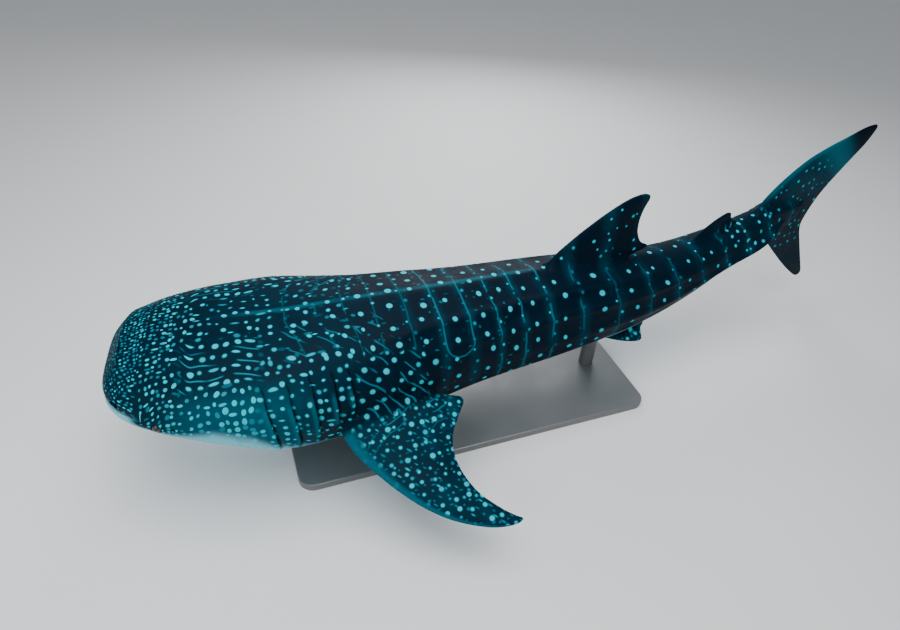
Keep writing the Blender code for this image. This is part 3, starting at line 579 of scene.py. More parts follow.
def turned_outward(points, faces):
    """The faces, turned round where they enclose a negative volume."""
    total = 0.0
    for group in faces:
        corners = points[group]
        for corner in range(1, corners.shape[1] - 1):
            total += np.einsum("ij,ij->", corners[:, 0], np.cross(corners[:, corner], corners[:, corner + 1]))
    return [face[:, ::-1] for face in faces] if total < 0 else faces


class Patchwork:
    """Points, faces and colour guides of the skin, gathered piece by piece into one mesh."""

    def __init__(self):
        self.place = []
        self.guides = {name: [] for name in GUIDES}
        self.faces = []
        self.count = 0

    def add(self, place, faces, **guides):
        """Adds points as (station, side, height), faces that count from the first of them, and guides."""
        self.place.append(place)
        self.faces += [face + self.count for face in faces]
        for name, size in GUIDES.items():
            empty = np.zeros((len(place), size) if size > 1 else len(place))
            self.guides[name].append(guides.get(name, empty))
        self.count += len(place)


# Eye sockets, spiracles and nostrils


def flank_angle(height, station):
    """Angle from the back at which the section is as high as wanted: the arc cosine of the height's share, with
    the section's power undone."""
    lift = float(form_at(LIFT, station))
    share = (height - lift) / float(form_at(BELOW if height < lift else ABOVE, station))
    return math.acos(math.copysign(abs(share) ** (1 / TOP_FULLNESS), share))


def ring_station_for(along, angle):
    """The ring station whose surface point at this angle lies at the wanted station, found by stepping."""
    station = along
    for _ in range(20):
        station += 0.7 * (along - float(body_point(station, angle)[0]))
    return station


def on_grid(values, row, column):
    """Values between the grid's points, mixed from the four round each place; columns run on round the ring."""
    low, left = np.floor(row).astype(int), np.floor(column).astype(int)
    up, across = row - low, column - left
    if values.ndim == 3:
        up, across = up[..., None], across[..., None]
    near, far = left % AROUND, (left + 1) % AROUND
    lower, upper = (values[line, near] * (1 - across) + values[line, far] * across for line in (low, low + 1))
    return lower * (1 - up) + upper * up


def window_edge(rows, columns):
    """Row and column indices round the edge of a window of the grid, once round."""
    (top, bottom), (left, right) = rows, columns
    down, across = np.arange(top, bottom), np.arange(left, right)
    row = np.concatenate([down, 0 * across + bottom, down[::-1] + 1, 0 * across + top])
    column = np.concatenate([0 * down + left, across, 0 * down + right, across[::-1] + 1])
    return row, column


def round_patch(centre, rings, rows, columns, first_row):
    """Fills a window of the head's grid with rings round a centre (ring station, angle): far out they follow
    the window's edge, then they are circles in the tangent plane, raised along the outward direction by the
    profile. It gives the points, their places on the grid, the painted shade inside the hollow and the edge's
    grid indices."""
    station, angle = centre
    small = 0.002
    here = body_point(station, angle)
    ahead = (body_point(station + small, angle) - here) / small
    round_it = (body_point(station, angle + small) - here) / small
    outward = np.cross(ahead, round_it)
    outward *= np.sign(outward[1] * here[1]) / np.linalg.norm(outward)
    first = ahead / np.linalg.norm(ahead)
    second = np.cross(outward, first)
    tangent = np.array([[ahead @ first, round_it @ first], [ahead @ second, round_it @ second]])
    back = np.linalg.inv(tangent)
    edge_row, edge_column = window_edge(rows, columns)
    edge_angle = -math.pi + edge_column * 2 * math.pi / AROUND
    offset = np.stack([head_stations()[edge_row - first_row] - station, edge_angle - angle])
    flat = tangent @ offset
    direction = flat / np.linalg.norm(flat, axis=0)
    outer = back @ (direction * rings[0][0])
    steps = [(outer * (1 - share) + offset * share, 0.0, 0.0) for share in PATCH_BLENDS]
    steps += [(back @ (direction * reach), height, dark) for reach, height, dark in rings]
    ring = np.array([station + step[0] for step, _, _ in steps])
    turn = np.array([angle + step[1] for step, _, _ in steps])
    lift, dark = (np.array([step[place] for step in steps])[:, None] for place in (1, 2))
    points = body_point(ring, turn) + lift[..., None] * outward
    row = (ring - HEAD_START) / HEAD_STEP + first_row
    column = (turn + math.pi) / (2 * math.pi) * AROUND
    return points, row, column, dark * np.ones(ring.shape), (edge_row, edge_column)


def patch_faces(levels, around, first, edge):
    """Quads from the window's edge through the levels of a patch, and triangles to its hub."""
    inner = ring_faces(levels, around) + first
    here = np.arange(around)
    beside = (here + 1) % around
    outer = np.stack([edge[here], first + here, first + beside, edge[beside]], axis=-1)
    hub = hub_faces(first + (levels - 1) * around, around, first + levels * around, True)
    return [group[:, ::-1] for group in (outer, inner, hub)]


def head_patches(first_row):
    """Centre, profile and window of each eye's socket and each spiracle."""
    for sign in (-1, 1):
        angle = sign * flank_angle(EYE_HEIGHT, EYE_STATION)
        column = round((angle + math.pi) / (2 * math.pi) * AROUND)
        for shift, rings, (half_rows, half_columns) in HEAD_PATCHES:
            centre = ring_station_for(EYE_STATION + shift, angle)
            row = round((centre - HEAD_START) / HEAD_STEP) + first_row
            columns = (column - half_columns, column + half_columns)
            yield (centre, angle), rings, (row - half_rows, row + half_rows), columns


def nostril_dents(rows, deep):
    """Presses the nostrils into the upper lip: an ellipsoid's depth, with a low rim round it, and paints shade
    inside them.
    """
    along, lip_height, _ = NOSTRIL_LIP
    for sign in (-1, 1):
        side = sign * NOSTRIL_SIDE * MOUTH_HALF_WIDTH
        station = bowed(along, side / (MOUTH_HALF_WIDTH + 0.01))
        spot = np.array([station, side, BODY_FORM[LIFT, 0] + lip_height * NOSTRIL_LIFT])
        lean, straight_on = NOSTRIL_TURN
        across = np.array([sign * lean, straight_on, 0.0])
        ahead = np.array([-straight_on, sign * lean, 0.0])
        local = (rows - spot) @ np.array([across, ahead, [0.0, 0.0, 1.0]]).T / np.array(NOSTRIL_SIZES)
        reach = np.sqrt(local[..., 0] ** 2 + local[..., 2] ** 2 + 0.3 * local[..., 1] ** 2)
        dent = np.clip(1 - reach**2, 0, 1)
        off_lip = np.abs(local[..., 1])
        rim = NOSTRIL_RIM * bell(reach, 1.25, 0.3) * (off_lip < 3)
        near = off_lip < 4
        rows = rows + (near * (rim - NOSTRIL_DEPTH * dent))[..., None] * ahead
        deep = np.maximum(deep, smooth_step(dent * 1.6) * near)
    return rows, deep


def add_body(patchwork):
    """The body's rings with a point in the middle of both end rings, and round patches for the eyes' sockets
    and the spiracles, whose guides are read between the grid's own."""
    rows, deep, edge, around, flat_around = body_rows()
    first_row = len(lip_rows())
    rows, deep = nostril_dents(rows, deep)
    count = len(rows)
    fields, belly = pattern_fields(rows[..., 0], around, np.broadcast_to(ring_angles(), deep.shape))
    wrap = np.stack([rows[..., 0], flat_around, profile_length(rows)], axis=-1)
    loop = loop_distance(rows[..., 0], around)
    grids = {"wrap": wrap, "fields": fields, "loop": loop, "belly": belly, "deep": deep, "edge": edge}
    points = [rows.reshape(-1, 3), rows[[0, -1]].mean(axis=1)]
    found = {}
    for name, values in grids.items():
        flat = values.reshape(count * AROUND, -1)
        found[name] = [flat, flat[[0, -1]]]
    total = count * AROUND + 2
    keep = np.ones((count - 1, AROUND), bool)
    patches = []
    for centre, rings, window_rows, window_columns in head_patches(first_row):
        place, row, column, dark, window = round_patch(centre, rings, window_rows, window_columns, first_row)
        keep[slice(*window_rows), slice(*window_columns)] = False
        levels, size = place.shape[:2]
        patches += patch_faces(levels, size, total, window[0] * AROUND + window[1] % AROUND)
        points += [place.reshape(-1, 3), place[-1].mean(axis=0)[None]]
        for name, values in grids.items():
            # Inside the eyes' sockets and the spiracles the painted shade comes from the profile; the other
            # guides are read off the grid
            patch = dark if name == "deep" else on_grid(values, row, column)
            flat = patch.reshape(levels * size, -1)
            found[name] += [flat, flat[-1:]]
        total += levels * size + 1
    guides = {name: np.concatenate(values).squeeze() for name, values in found.items()}
    patchwork.add(np.concatenate(points), closed_faces(count, AROUND, keep) + patches, **guides)


# Fins


def upright(station, out, lateral):
    """A fin of the middle plane stands up or down and is thick sideways."""
    return np.stack([station, lateral, out], axis=-1)


def spread(root, height, rise, droop, sign):
    """A paired fin runs out to its side, sinking by droop for each metre out."""

    def placed(station, out, lateral):
        slope = math.atan(droop)
        level = height + rise * (station - root[0]) - droop * (out - root[1])
        side = sign * (out + lateral * math.sin(slope))
        return np.stack([station, side, level + lateral * math.cos(slope)], axis=-1)

    return placed


def chord_thickness(share):
    """Round in front, fullest at a third and thin behind: root of the share times what is left of it."""
    return np.sqrt(share) * (1 - share) / (math.sqrt(1 / 3) * 2 / 3)


def fin_rows(fin, placed):
    """Loops round a fin, from inside the body to the tip, or from tip to tip. The two margins are splines that
    meet in a point beyond each tip; between them the half thickness follows the chord. Near the body each loop
    is pushed outwards by a quarter circle of the fillet's radius, and kept at its height above the skin."""
    margins = np.reshape(fin.margins, (-1, 2, 2))
    middles = margins.mean(axis=1)
    last = len(margins) - 1
    tip = middles[-1] + TIP_REACH * (middles[-1] - middles[-2])
    lead, trail = (np.vstack([margins[:, side], tip]) for side in (0, 1))
    if fin is CAUDAL:
        low = middles[0] + TIP_REACH * (middles[0] - middles[1])
        lead, trail = np.vstack([low, lead]), np.vstack([low, trail])
        at = np.linspace(0, last + 2, fin.loops)
        length = np.where(at > CAUDAL_ROOT, last + 1 - CAUDAL_ROOT, CAUDAL_ROOT - 1)
        span = np.clip(np.abs(at - CAUDAL_ROOT) / length, 0, 1)[:, None]
        from_end = np.minimum(at, last + 2 - at)
    else:
        at = (last + 1) * np.linspace(0, 1, fin.loops) ** LOOP_CROWDING
        span = np.clip(at / last, 0, 1)[:, None]
        from_end = last + 1 - at
    closing = np.sqrt(np.clip(1 - (1 - np.clip(from_end, 0, 1)) ** 2, 0, 1))[:, None]
    share = (1 - np.cos(math.pi * np.linspace(0, 1, fin.chord + 1))) / 2
    share = np.concatenate([share, share[-2:0:-1]])[None, :]
    face = np.concatenate([np.ones(fin.chord + 1), -np.ones(fin.chord - 1)])[None, :]
    lead, trail = spline_at(lead, at), spline_at(trail, at)
    station, out = (lead[:, axis, None] * (1 - share) + trail[:, axis, None] * share for axis in (0, 1))
    full = fin.thickness[0] + (fin.thickness[1] - fin.thickness[0]) * span
    full = full * (1 + ROOT_FLARE * (1 - span) ** 6)
    half = 0.5 * closing * (full * chord_thickness(share) + FIN_EDGE * share * np.sqrt(1 - share**12))
    lateral = half * face
    height = skin_beneath(placed(station, out, 0 * lateral))[0] + np.clip(station - FORM_END, 0, None)
    near = np.clip(1 - height / fin.fillet, 0, 1)
    push = fin.fillet * (1 - np.sqrt(1 - near**2))
    if fin is CAUDAL:
        lateral = lateral + push * face * (half > 1e-5)
    else:
        ahead = np.roll(station, -1, axis=1) - np.roll(station, 1, axis=1)
        across = np.roll(lateral, -1, axis=1) - np.roll(lateral, 1, axis=1)
        size = np.hypot(ahead, across) + 1e-9
        station = station - 0.25 * push * across / size
        lateral = lateral + push * ahead / size
        lift = np.zeros_like(out)
        for _ in range(4):
            error = skin_beneath(placed(station, out + lift, lateral))[0] - height
            lift = np.clip(lift - 0.8 * error * (near > 0), -fin.fillet, fin.fillet)
        out = out + lift
    share, span, under = (np.broadcast_to(values, station.shape) for values in (share, span, face < 0))
    blade = np.stack([share, span, height], axis=-1)
    return placed(station, out, lateral), blade, np.stack([station, out, under], axis=-1)


def add_fin(patchwork, fin, placed):
    """One fin as loops closed at both ends by a point in the middle of the first and the last loop; at a tip
    the loop itself is left out, because it is a point."""
    place, blade, flat = fin_rows(fin, placed)
    _, ring, angle = skin_beneath(place)
    around = girth_to(ring, angle)
    fields, belly = pattern_fields(place[..., 0], around, angle)
    open_rows = slice(1 if fin is CAUDAL else 0, -1)
    rows, columns = place[open_rows].shape[:2]

    def with_hubs(values):
        ends = np.stack([values[0].mean(axis=0), values[-1].mean(axis=0)])
        return np.concatenate([values[open_rows].reshape(rows * columns, -1), ends.reshape(2, -1)]).squeeze()

    points = with_hubs(place)
    wrap = np.stack([place[..., 0], around, place[..., 0]], axis=-1)
    guides = {"wrap": wrap, "fields": fields, "loop": loop_distance(place[..., 0], around), "belly": belly}
    guides = {name: with_hubs(values) for name, values in {**guides, "blade": blade, "flat": flat}.items()}
    guides["fin"] = np.full(len(points), float(fin.kind))
    patchwork.add(points, turned_outward(points, closed_faces(rows, columns)), **guides)


def add_fins(patchwork):
    """The fins of the middle plane, then the paired fins of the left side and of the right side."""
    for fin in (FIRST_DORSAL, SECOND_DORSAL, ANAL, CAUDAL):
        add_fin(patchwork, fin, upright)
    for side, sign in enumerate((-1, 1)):
        for fin, root, height, rise, droops in PAIRED:
            add_fin(patchwork, fin, spread(root, height, rise, droops[side], sign))


# Meshes


def mesh_of(name, points, faces):
    """A mesh from points and groups of faces, smooth shaded."""
    mesh = bpy.data.meshes.new(name)
    mesh.from_pydata(points.tolist(), [], [face for group in faces for face in group.tolist()])
    mesh.shade_smooth()
    model = bpy.data.objects.new(name, mesh)
    bpy.context.scene.collection.objects.link(model)
    return model


def give_guides(mesh, guides):
    """Stores the guides as attributes of the mesh's points."""
    for name, values in guides.items():
        values = np.asarray(values, np.float32)
        single = values.ndim == 1
        attribute = mesh.attributes.new(name, "FLOAT" if single else "FLOAT_VECTOR", "POINT")
        attribute.data.foreach_set("value" if single else "vector", values.ravel())


def surface_frame(station, angle):
    """A point of the head with its directions along and outwards, in the frame."""
    small = 0.004
    stations = np.array([station, station + small, station])
    angles = np.array([angle, angle, angle + small])
    here, ahead, around = to_model(*np.moveaxis(body_point(stations, angles), -1, 0))
    outward = np.cross(ahead - here, around - here)
    outward /= np.linalg.norm(outward)
    along = (ahead - here) / np.linalg.norm(ahead - here)
    middle = to_model(np.array(station), np.array(0.0), np.array(0.0))
    return here, along, outward if np.dot(outward, here - middle) > 0 else -outward


def eye_ball(name, sign, radius):
    """A ball that bulges a little in front into a cornea: radius times the sine and cosine of the angle from
    its axis, with the pole at the front."""
    angle = sign * flank_angle(EYE_HEIGHT, EYE_STATION)
    here, along, outward = surface_frame(ring_station_for(EYE_STATION, angle), angle)
    middle = here - outward * EYE_SINK
    lean = np.linspace(0, math.pi, EYE_ROWS)[1:-1, None]
    turn = np.linspace(0, 2 * math.pi, EYE_COLUMNS, endpoint=False)[None, :]
    reach = radius * (1 + CORNEA * bell(lean, 0, 0.45))
    across, ahead = reach * np.sin(lean), reach * np.cos(lean)
    local = np.stack([across * np.cos(turn), across * np.sin(turn), ahead + 0 * turn], axis=-1)
    poles = np.array([[0, 0, radius * (1 + CORNEA)], [0, 0, -radius]])
    flat = np.concatenate([local.reshape(-1, 3), poles])
    points = middle + flat @ np.array([along, np.cross(outward, along), outward])
    ball = mesh_of(name, points, turned_outward(points - middle, closed_faces(EYE_ROWS - 2, EYE_COLUMNS)))
    from_axis = np.arctan2(np.hypot(flat[:, 0], flat[:, 1]), flat[:, 2])
    give_guides(ball.data, {"from_axis": from_axis, "look": flat})
    return ball


# Nodes of materials


class Term:
    """A number in a node tree: sums, products, powers and comparisons of terms become math nodes, | is the
    greater of two masks and ~ is what a mask leaves out."""

    def __init__(self, wiring, socket):
        self.wiring = wiring
        self.socket = socket

    def math(self, operation, *others):
        given = {f"i{place}": value for place, value in enumerate((self, *others))}
        made = self.wiring.node("ShaderNodeMath", {"operation": operation}, **given)
        return Term(self.wiring, made.outputs[0])

    __add__, __sub__ = partialmethod(math, "ADD"), partialmethod(math, "SUBTRACT")
    __mul__, __truediv__ = partialmethod(math, "MULTIPLY"), partialmethod(math, "DIVIDE")
    __gt__, __lt__ = partialmethod(math, "GREATER_THAN"), partialmethod(math, "LESS_THAN")
    __pow__, __or__ = partialmethod(math, "POWER"), partialmethod(math, "MAXIMUM")
    __abs__ = partialmethod(math, "ABSOLUTE")

    def __invert__(self):
        return self * -1.0 + 1.0

    def step(self, low, high, to_low=0.0, to_high=1.0):
        """Eases from to_low to to_high while the term goes from low to high."""
        ease = {"interpolation_type": "SMOOTHSTEP"}
        made = self.wiring.node("ShaderNodeMapRange", ease, i0=self, i1=low, i2=high, i3=to_low, i4=to_high)
        return Term(self.wiring, made.outputs[0])

    def between(self, low, high, soft):
        """1 between low and high, fading over soft at both ends."""
        return self.step(low - soft, low + soft) * self.step(high - soft, high + soft, 1.0, 0.0)


class Wiring:
    """Short calls for putting nodes into a tree. Inputs are given by name, or by i and their number."""

    def __init__(self, tree):
        self.tree = tree

    def node(self, kind, settings=None, **inputs):
        made = self.tree.nodes.new(kind)
        for name, value in (settings or {}).items():
            setattr(made, name, value)
        for name, value in inputs.items():
            self.feed(made.inputs[int(name[1:]) if name[1:].isdigit() else name.replace("_", " ")], value)
        return made

    def feed(self, socket, value):
        value = value.socket if isinstance(value, Term) else value
        if isinstance(value, bpy.types.NodeSocket):
            self.tree.links.new(value, socket)
        else:
            socket.default_value = value

    def mix(self, share, *colours):
        """A colour between two others, each a socket or three numbers."""
        first, second = (
            colour if isinstance(colour, bpy.types.NodeSocket) else (*colour, 1) for colour in colours
        )
        return self.node("ShaderNodeMix", {"data_type": "RGBA"}, i0=share, i6=first, i7=second).outputs[2]

    def vector(self, name):
        return self.node("ShaderNodeAttribute", {"attribute_name": name}).outputs["Vector"]

    def number(self, name):
        return Term(self, self.node("ShaderNodeAttribute", {"attribute_name": name}).outputs["Fac"])

    def place(self):
        return self.node("ShaderNodeTexCoord").outputs["Object"]

    def parts(self, vector):
        """The three numbers of a vector."""
        return [Term(self, socket) for socket in self.node("ShaderNodeSeparateXYZ", i0=vector).outputs]

    def noise(self, place, scale, detail=2.0, roughness=0.5):
        """Smooth noise as a number about a half."""
        made = self.node("ShaderNodeTexNoise", Vector=place, Scale=scale, Detail=detail, Roughness=roughness)
        return Term(self, made.outputs[0])

    def bump(self, **inputs):
        return self.node("ShaderNodeBump", **inputs).outputs[0]

    def group(self, tree, **inputs):
        """The outputs of a node group, by name."""
        made = self.node("ShaderNodeGroup", {"node_tree": tree}, **inputs)
        return {socket.name: Term(self, socket) for socket in made.outputs}


def new_material(name, **constants):
    """A material with one Principled shader, which takes the constants."""
    material = bpy.data.materials.new(name)
    material.use_nodes = True
    material.node_tree.nodes.clear()
    wiring = Wiring(material.node_tree)
    shader = wiring.node("ShaderNodeBsdfPrincipled", **constants)
    wiring.node("ShaderNodeOutputMaterial", Surface=shader.outputs[0])
    return material, wiring, shader.inputs


def new_group(name, vectors, numbers, made):
    """A node group that is given vectors and numbers and makes numbers; vectors made are marked with a star."""
    tree = bpy.data.node_groups.new(name, "ShaderNodeTree")
    sockets = [(label, "INPUT", "Vector") for label in vectors]
    sockets += [(label, "INPUT", "Float") for label in numbers]
    sockets += [(label.rstrip("*"), "OUTPUT", "Vector" if label.endswith("*") else "Float") for label in made]
    for label, way, kind in sockets:
        tree.interface.new_socket(label, in_out=way, socket_type="NodeSocket" + kind)
    wiring = Wiring(tree)
    given = {socket.name: Term(wiring, socket) for socket in wiring.node("NodeGroupInput").outputs}
    return tree, wiring, given, wiring.node("NodeGroupOutput").inputs


def dots_group():
    """Pale dots on a shaken lattice. The distance from the cell's own point is measured in metres, so dots are
    round whatever the lattice; some are drawn out into dashes. It also gives how far ahead of the dot's middle
    and round from it a place lies, in metres, and the middle itself, counted in cells."""
    numbers = ["Pitch Along", "Pitch Round", "Radius", "Softness", "Shake", "Variation", "Dashes"]
    tree, wiring, given, made = new_group(
        "pale dots", ["Cells"], numbers, ["Mask", "Chance", "Ahead", "Round", "Middle*"]
    )
    cells = wiring.node(
        "ShaderNodeTexVoronoi", {"voronoi_dimensions": "2D", "feature": "F1"},
        Vector=given["Cells"], Scale=1.0, Randomness=given["Shake"],
    )
    middle = cells.outputs["Position"]
    away = wiring.node("ShaderNodeVectorMath", {"operation": "SUBTRACT"}, i0=given["Cells"], i1=middle)
    along, across, _ = wiring.parts(away.outputs[0])
    ahead = along * given["Pitch Along"]
    around = across * given["Pitch Round"]
    chances = wiring.node("ShaderNodeSeparateColor", i0=cells.outputs["Color"]).outputs
    size_chance, dash_chance, chance = (Term(wiring, socket) for socket in chances)
    dash = dash_chance < given["Dashes"]
    far = ((ahead * (dash * -0.42 + 1.0)) ** 2.0 + (around * (dash * 0.50 + 1.0)) ** 2.0) ** 0.5
    radius = given["Radius"] * ((size_chance - 0.5) * given["Variation"] + 1.0)
    mask = far.step(radius - given["Softness"], radius + given["Softness"], 1.0, 0.0)
    for socket, value in zip(made, (mask, chance, ahead, around, middle)):
        wiring.feed(socket, value)
    return tree


def lines_group():
    """Thin pale lines at the halves of a counted field, waved by noise, and broken where the noise is low."""
    numbers = ["Field", "Pitch", "Width", "Wave", "Breaks"]
    tree, wiring, given, made = new_group("pale lines", ["Place"], numbers, ["Mask"])
    waved = (wiring.noise(given["Place"], 6.5, 1.0) - 0.5) * given["Wave"] + given["Field"]
    far = abs(waved.math("FRACT") - 0.5) * given["Pitch"]
    line = far.step(given["Width"] * 0.35, given["Width"], 1.0, 0.0)
    kept = wiring.noise(given["Place"], 9.0, 0.0).step(given["Breaks"] - 0.05, given["Breaks"] + 0.08)
    wiring.feed(made["Mask"], line * kept)
    return tree


def grain_group():
    """Fine skin grain over soft undulations, as a height for the bump, and broad clouds."""
    tree, wiring, given, made = new_group("skin grain", ["Place"], [], ["Height", "Clouds"])
    fine = wiring.noise(given["Place"], 220.0, 2.0, 0.6)
    middling = wiring.noise(given["Place"], 38.0, 3.0)
    wiring.feed(made["Height"], fine * 0.35 + middling * 0.65)
    wiring.feed(made["Clouds"], wiring.noise(given["Place"], 5.0, 4.0, 0.6))
    return tree


# Pattern


class Dots(namedtuple("Dots", "mask chance station down")):
    """A layer of dots: its mask, a chance of each dot's own, and the station and girth of each dot's middle."""

    def glow(self, least, most=1.0):
        """The mask with a brightness between least and most for each dot."""
        return self.mask * (self.chance * (most - least) + least)


Zones = namedtuple("Zones", "cheek gills shoulder trunk")


class SkinPattern:
    """The layers of the shark's pattern, in metres: station runs along the body and down is the girth from the
    back's middle."""

    def __init__(self, wiring, spot_size):
        self.wiring = wiring
        self.spot_size = spot_size
        self.dots = dots_group()
        self.lines = lines_group()
        self.station, self.around, self.profile = wiring.parts(wiring.vector("wrap"))
        self.columns, self.rows, self.streaks = wiring.parts(wiring.vector("fields"))
        self.down = abs(self.around)
        self.place = wiring.vector("straight")
        warp = wiring.node("ShaderNodeTexNoise", Vector=self.place, Scale=7.0, Detail=1.0).outputs[1]
        self.shift, self.drift = ((part - 0.5) * 0.05 for part in wiring.parts(warp)[:2])

    def lattice(self, first, second, pitches, radius, shake, variation, dashes=0.0, softness=0.0055):
        """Dots on a lattice whose two coordinates are counted in cells, and their middles in cells."""
        cells = self.wiring.node("ShaderNodeCombineXYZ", i0=first + shake / 2, i1=second + shake / 2)
        made = self.wiring.group(
            self.dots, Cells=cells.outputs[0], Pitch_Along=pitches[0], Pitch_Round=pitches[1],
            Radius=radius * self.spot_size, Softness=softness, Shake=shake, Variation=variation, Dashes=dashes,
        )
        station, down = self.station - made["Ahead"], abs(self.around - made["Round"])
        return Dots(made["Mask"], made["Chance"], station, down), self.wiring.parts(made["Middle"])

    def scattered(self, pitch, radius, shake, variation, dashes=0.0, softness=0.0055, taller=1.0, along=None):
        """Dots strewn evenly over the skin. A dot has one middle all over it, so no zone's edge cuts it."""
        along = (self.station if along is None else along) + self.shift
        across = self.around + self.drift
        dots, middle = self.lattice(
            along / pitch, across / (pitch * taller), (pitch, pitch), radius, shake, variation, dashes, softness
        )
        station = (middle[0] - shake / 2) * pitch
        return dots._replace(station=station, down=abs((middle[1] - shake / 2) * (pitch * taller)))

    def even(self, ahead, out, pitch, radius, shake, variation, dashes=0.0):
        """Dots on a square lattice over a fin's blade; both places are counted in cells."""
        return self.lattice(ahead, out, (pitch, pitch), radius, shake, variation, dashes)[0]

    def line(self, field, pitch, width, wave, breaks):
        """Thin lines along a family of the fields."""
        made = self.wiring.group(
            self.lines, Field=field, Place=self.place, Pitch=pitch, Width=width, Wave=wave, Breaks=breaks
        )
        return made["Mask"]

    def zones(self, at):
        """Shares of the cheek's rows, the gills' dots, the shoulder's streaks and the rest of the trunk."""
        cheek = at.station.between(0.44, 0.86, ZONE_EDGE) * at.down.between(0.19, 0.50, ZONE_EDGE)
        gills = at.station.between(0.84, 1.36, ZONE_EDGE) * (at.down > 0.40)
        shoulder = at.station.between(1.36, 1.78, ZONE_EDGE) * at.down.between(0.44, 0.92, ZONE_EDGE)
        return Zones(cheek, gills, shoulder, ~cheek * ~gills * ~shoulder)

    def snout(self):
        """Tiny dots that grow from the lips back, in three layers; the first follows the lips' profile, up to
        the place where the second starts, on a flat ellipse over the girth."""
        small = {"shake": 0.5, "variation": 0.45, "dashes": 0.08, "softness": 0.0022}
        first = self.scattered(0.0265, self.station * 0.015 + 0.0052, along=self.profile, **small)
        half_girth, length = 0.474, 0.326
        reach = (((first.down / half_girth) ** 4.0 * -1.0 + 1.0) | 0.0) ** 0.645 * length
        found = first.glow(0.40, 0.82) * (first.station < reach)
        second = self.scattered(0.034, (self.station - 0.22) * 0.02 + 0.0075, **small)
        end = (second.down > 0.44) * 0.03 + 0.38
        found = found | second.glow(0.45, 0.90) * (second.station > 0.22) * (second.station < end)
        third = self.scattered(0.045, (self.station - 0.38) * 0.01 + 0.0100, taller=1.2, **small)
        low = third.down > 0.44
        inside = (third.station > low * 0.03 + 0.38) * (third.station < low * 0.28 + 0.56)
        upper = (third.station > 0.50) * (third.down < 0.19)
        return found | third.glow(0.55) * inside * ~self.zones(third).cheek * ~upper

    def crown(self):
        """Dots and short dashes on the top of the head, and down behind the cheek's rows."""
        dots = self.scattered(pitch=0.066, radius=0.0118, shake=0.6, variation=0.7, dashes=0.25)
        inside = dots.station.between(0.50, 0.98, 0.01) * (dots.down < (dots.station > 0.86) * 0.23 + 0.21)
        return dots.glow(0.60) * inside * ~self.zones(dots).cheek

    def cheek(self):
        """Rows of dots along the cheek with thin lines between them."""
        pitch = 0.062
        dots, _ = self.lattice(
            self.station / pitch, self.rows, (pitch, ROW_PITCH),
            radius=0.0155, shake=0.3, variation=0.4, dashes=0.2,
        )
        lines = self.line(self.rows, ROW_PITCH, width=0.0075, wave=0.25, breaks=0.44)
        lines = lines * self.zones(self).cheek * self.down.step(0.16, 0.34, 0.28, 0.58)
        return dots.glow(0.7) * self.zones(dots).cheek | lines

    def gills(self):
        """Dots over the gill flaps."""
        dots = self.scattered(pitch=0.060, radius=0.0127, shake=0.55, variation=0.6, dashes=0.08)
        return dots.glow(0.65) * self.zones(dots).gills

    def spots(self):
        """Columns of big spots round the trunk, with chains of small dots between them."""
        pitch = self.station.step(1.4, 3.3, 0.175, 0.28)
        size = self.station.step(0.9, 1.7, 0.0150, 0.0186) * self.station.step(3.0, 4.6, 1.0, 0.66)
        tall, low = 0.135, 0.085
        big, _ = self.lattice(self.columns, self.around / tall, (pitch, tall), size, shake=0.3, variation=0.35)
        small, _ = self.lattice(
            self.columns + 0.5, self.around / low, (pitch, low), radius=0.0105, shake=0.22, variation=0.5
        )
        chains = small.glow(0.25, 0.85) * self.zones(small).trunk * (small.station > 0.97)
        return big.glow(0.8) * self.zones(big).trunk * big.station.between(0.97, 4.34, 0.01) | chains

    def faint(self):
        """Faint dots between the spots of the shoulder and the front of the trunk."""
        small = self.station.step(1.3, 1.6, 0.0125, 0.0072)
        dots = self.scattered(pitch=0.074, radius=small, shake=0.8, variation=0.8, dashes=0.35)
        kept = self.zones(dots).trunk * dots.station.between(0.98, 2.4, 0.02)
        kept = kept * (dots.chance > dots.station.step(1.3, 1.6, 0.15, 0.28))
        return dots.mask * kept * dots.chance * dots.station.step(1.3, 1.6, 1.0, 0.45)

    def trunk_lines(self):
        """Thin lines down the trunk between its columns, with the loop among them on the left flank."""
        strong = self.station.step(1.75, 1.95, 0.20, 0.36) * self.station.step(2.6, 3.2, 1.0, 0.5)
        left = self.around < -0.10
        kept = self.zones(self).trunk * ~(self.station.between(1.86, 2.17, 0.01) * left) * (self.station > 0.98)
        lines = self.line(self.columns, pitch=0.19, width=0.0100, wave=0.13, breaks=0.40)
        return lines * kept * strong | abs(self.wiring.number("loop")).step(0.002, 0.010, 0.42, 0.0) * left

    def shoulder(self):
        """Slanting rows of spots with streaks between them, and faint streaks above."""
        streaks = self.line(self.streaks, STREAK_PITCH, width=0.008, wave=1.1, breaks=0.47)
        slant = (self.station + self.down) / 0.16
        pitches = (STREAK_PITCH, 0.113)
        dots, _ = self.lattice(self.streaks, slant, pitches, radius=0.0172, shake=0.25, variation=0.4)
        above = self.station.between(0.98, 1.62, 0.05) * self.down.between(0.15, 0.42, 0.03)
        found = streaks * (self.zones(self).shoulder * self.down.step(0.4, 0.7, 0.4, 0.55) | above * 0.36)
        return found | dots.glow(0.7) * self.zones(dots).shoulder

    def stalk(self):
        """Small dots close together where the body narrows to the tail fin."""
        dots = self.scattered(pitch=0.078, radius=0.0125, shake=0.5, variation=0.5)
        return dots.glow(0.6) * dots.station.between(4.36, 5.06, 0.02) * (dots.chance > 0.25)

    def painted_ridge_highlight(self):
        """A soft, broken painted highlight along the middle of the back, where light would catch the ridge."""
        broken = self.wiring.noise(self.place, 4.0).step(0.34, 0.56, 0.3, 1.0)
        return self.down.step(0.002, 0.030, 1.0, 0.0) * self.station.between(0.70, 2.66, 0.20) * broken

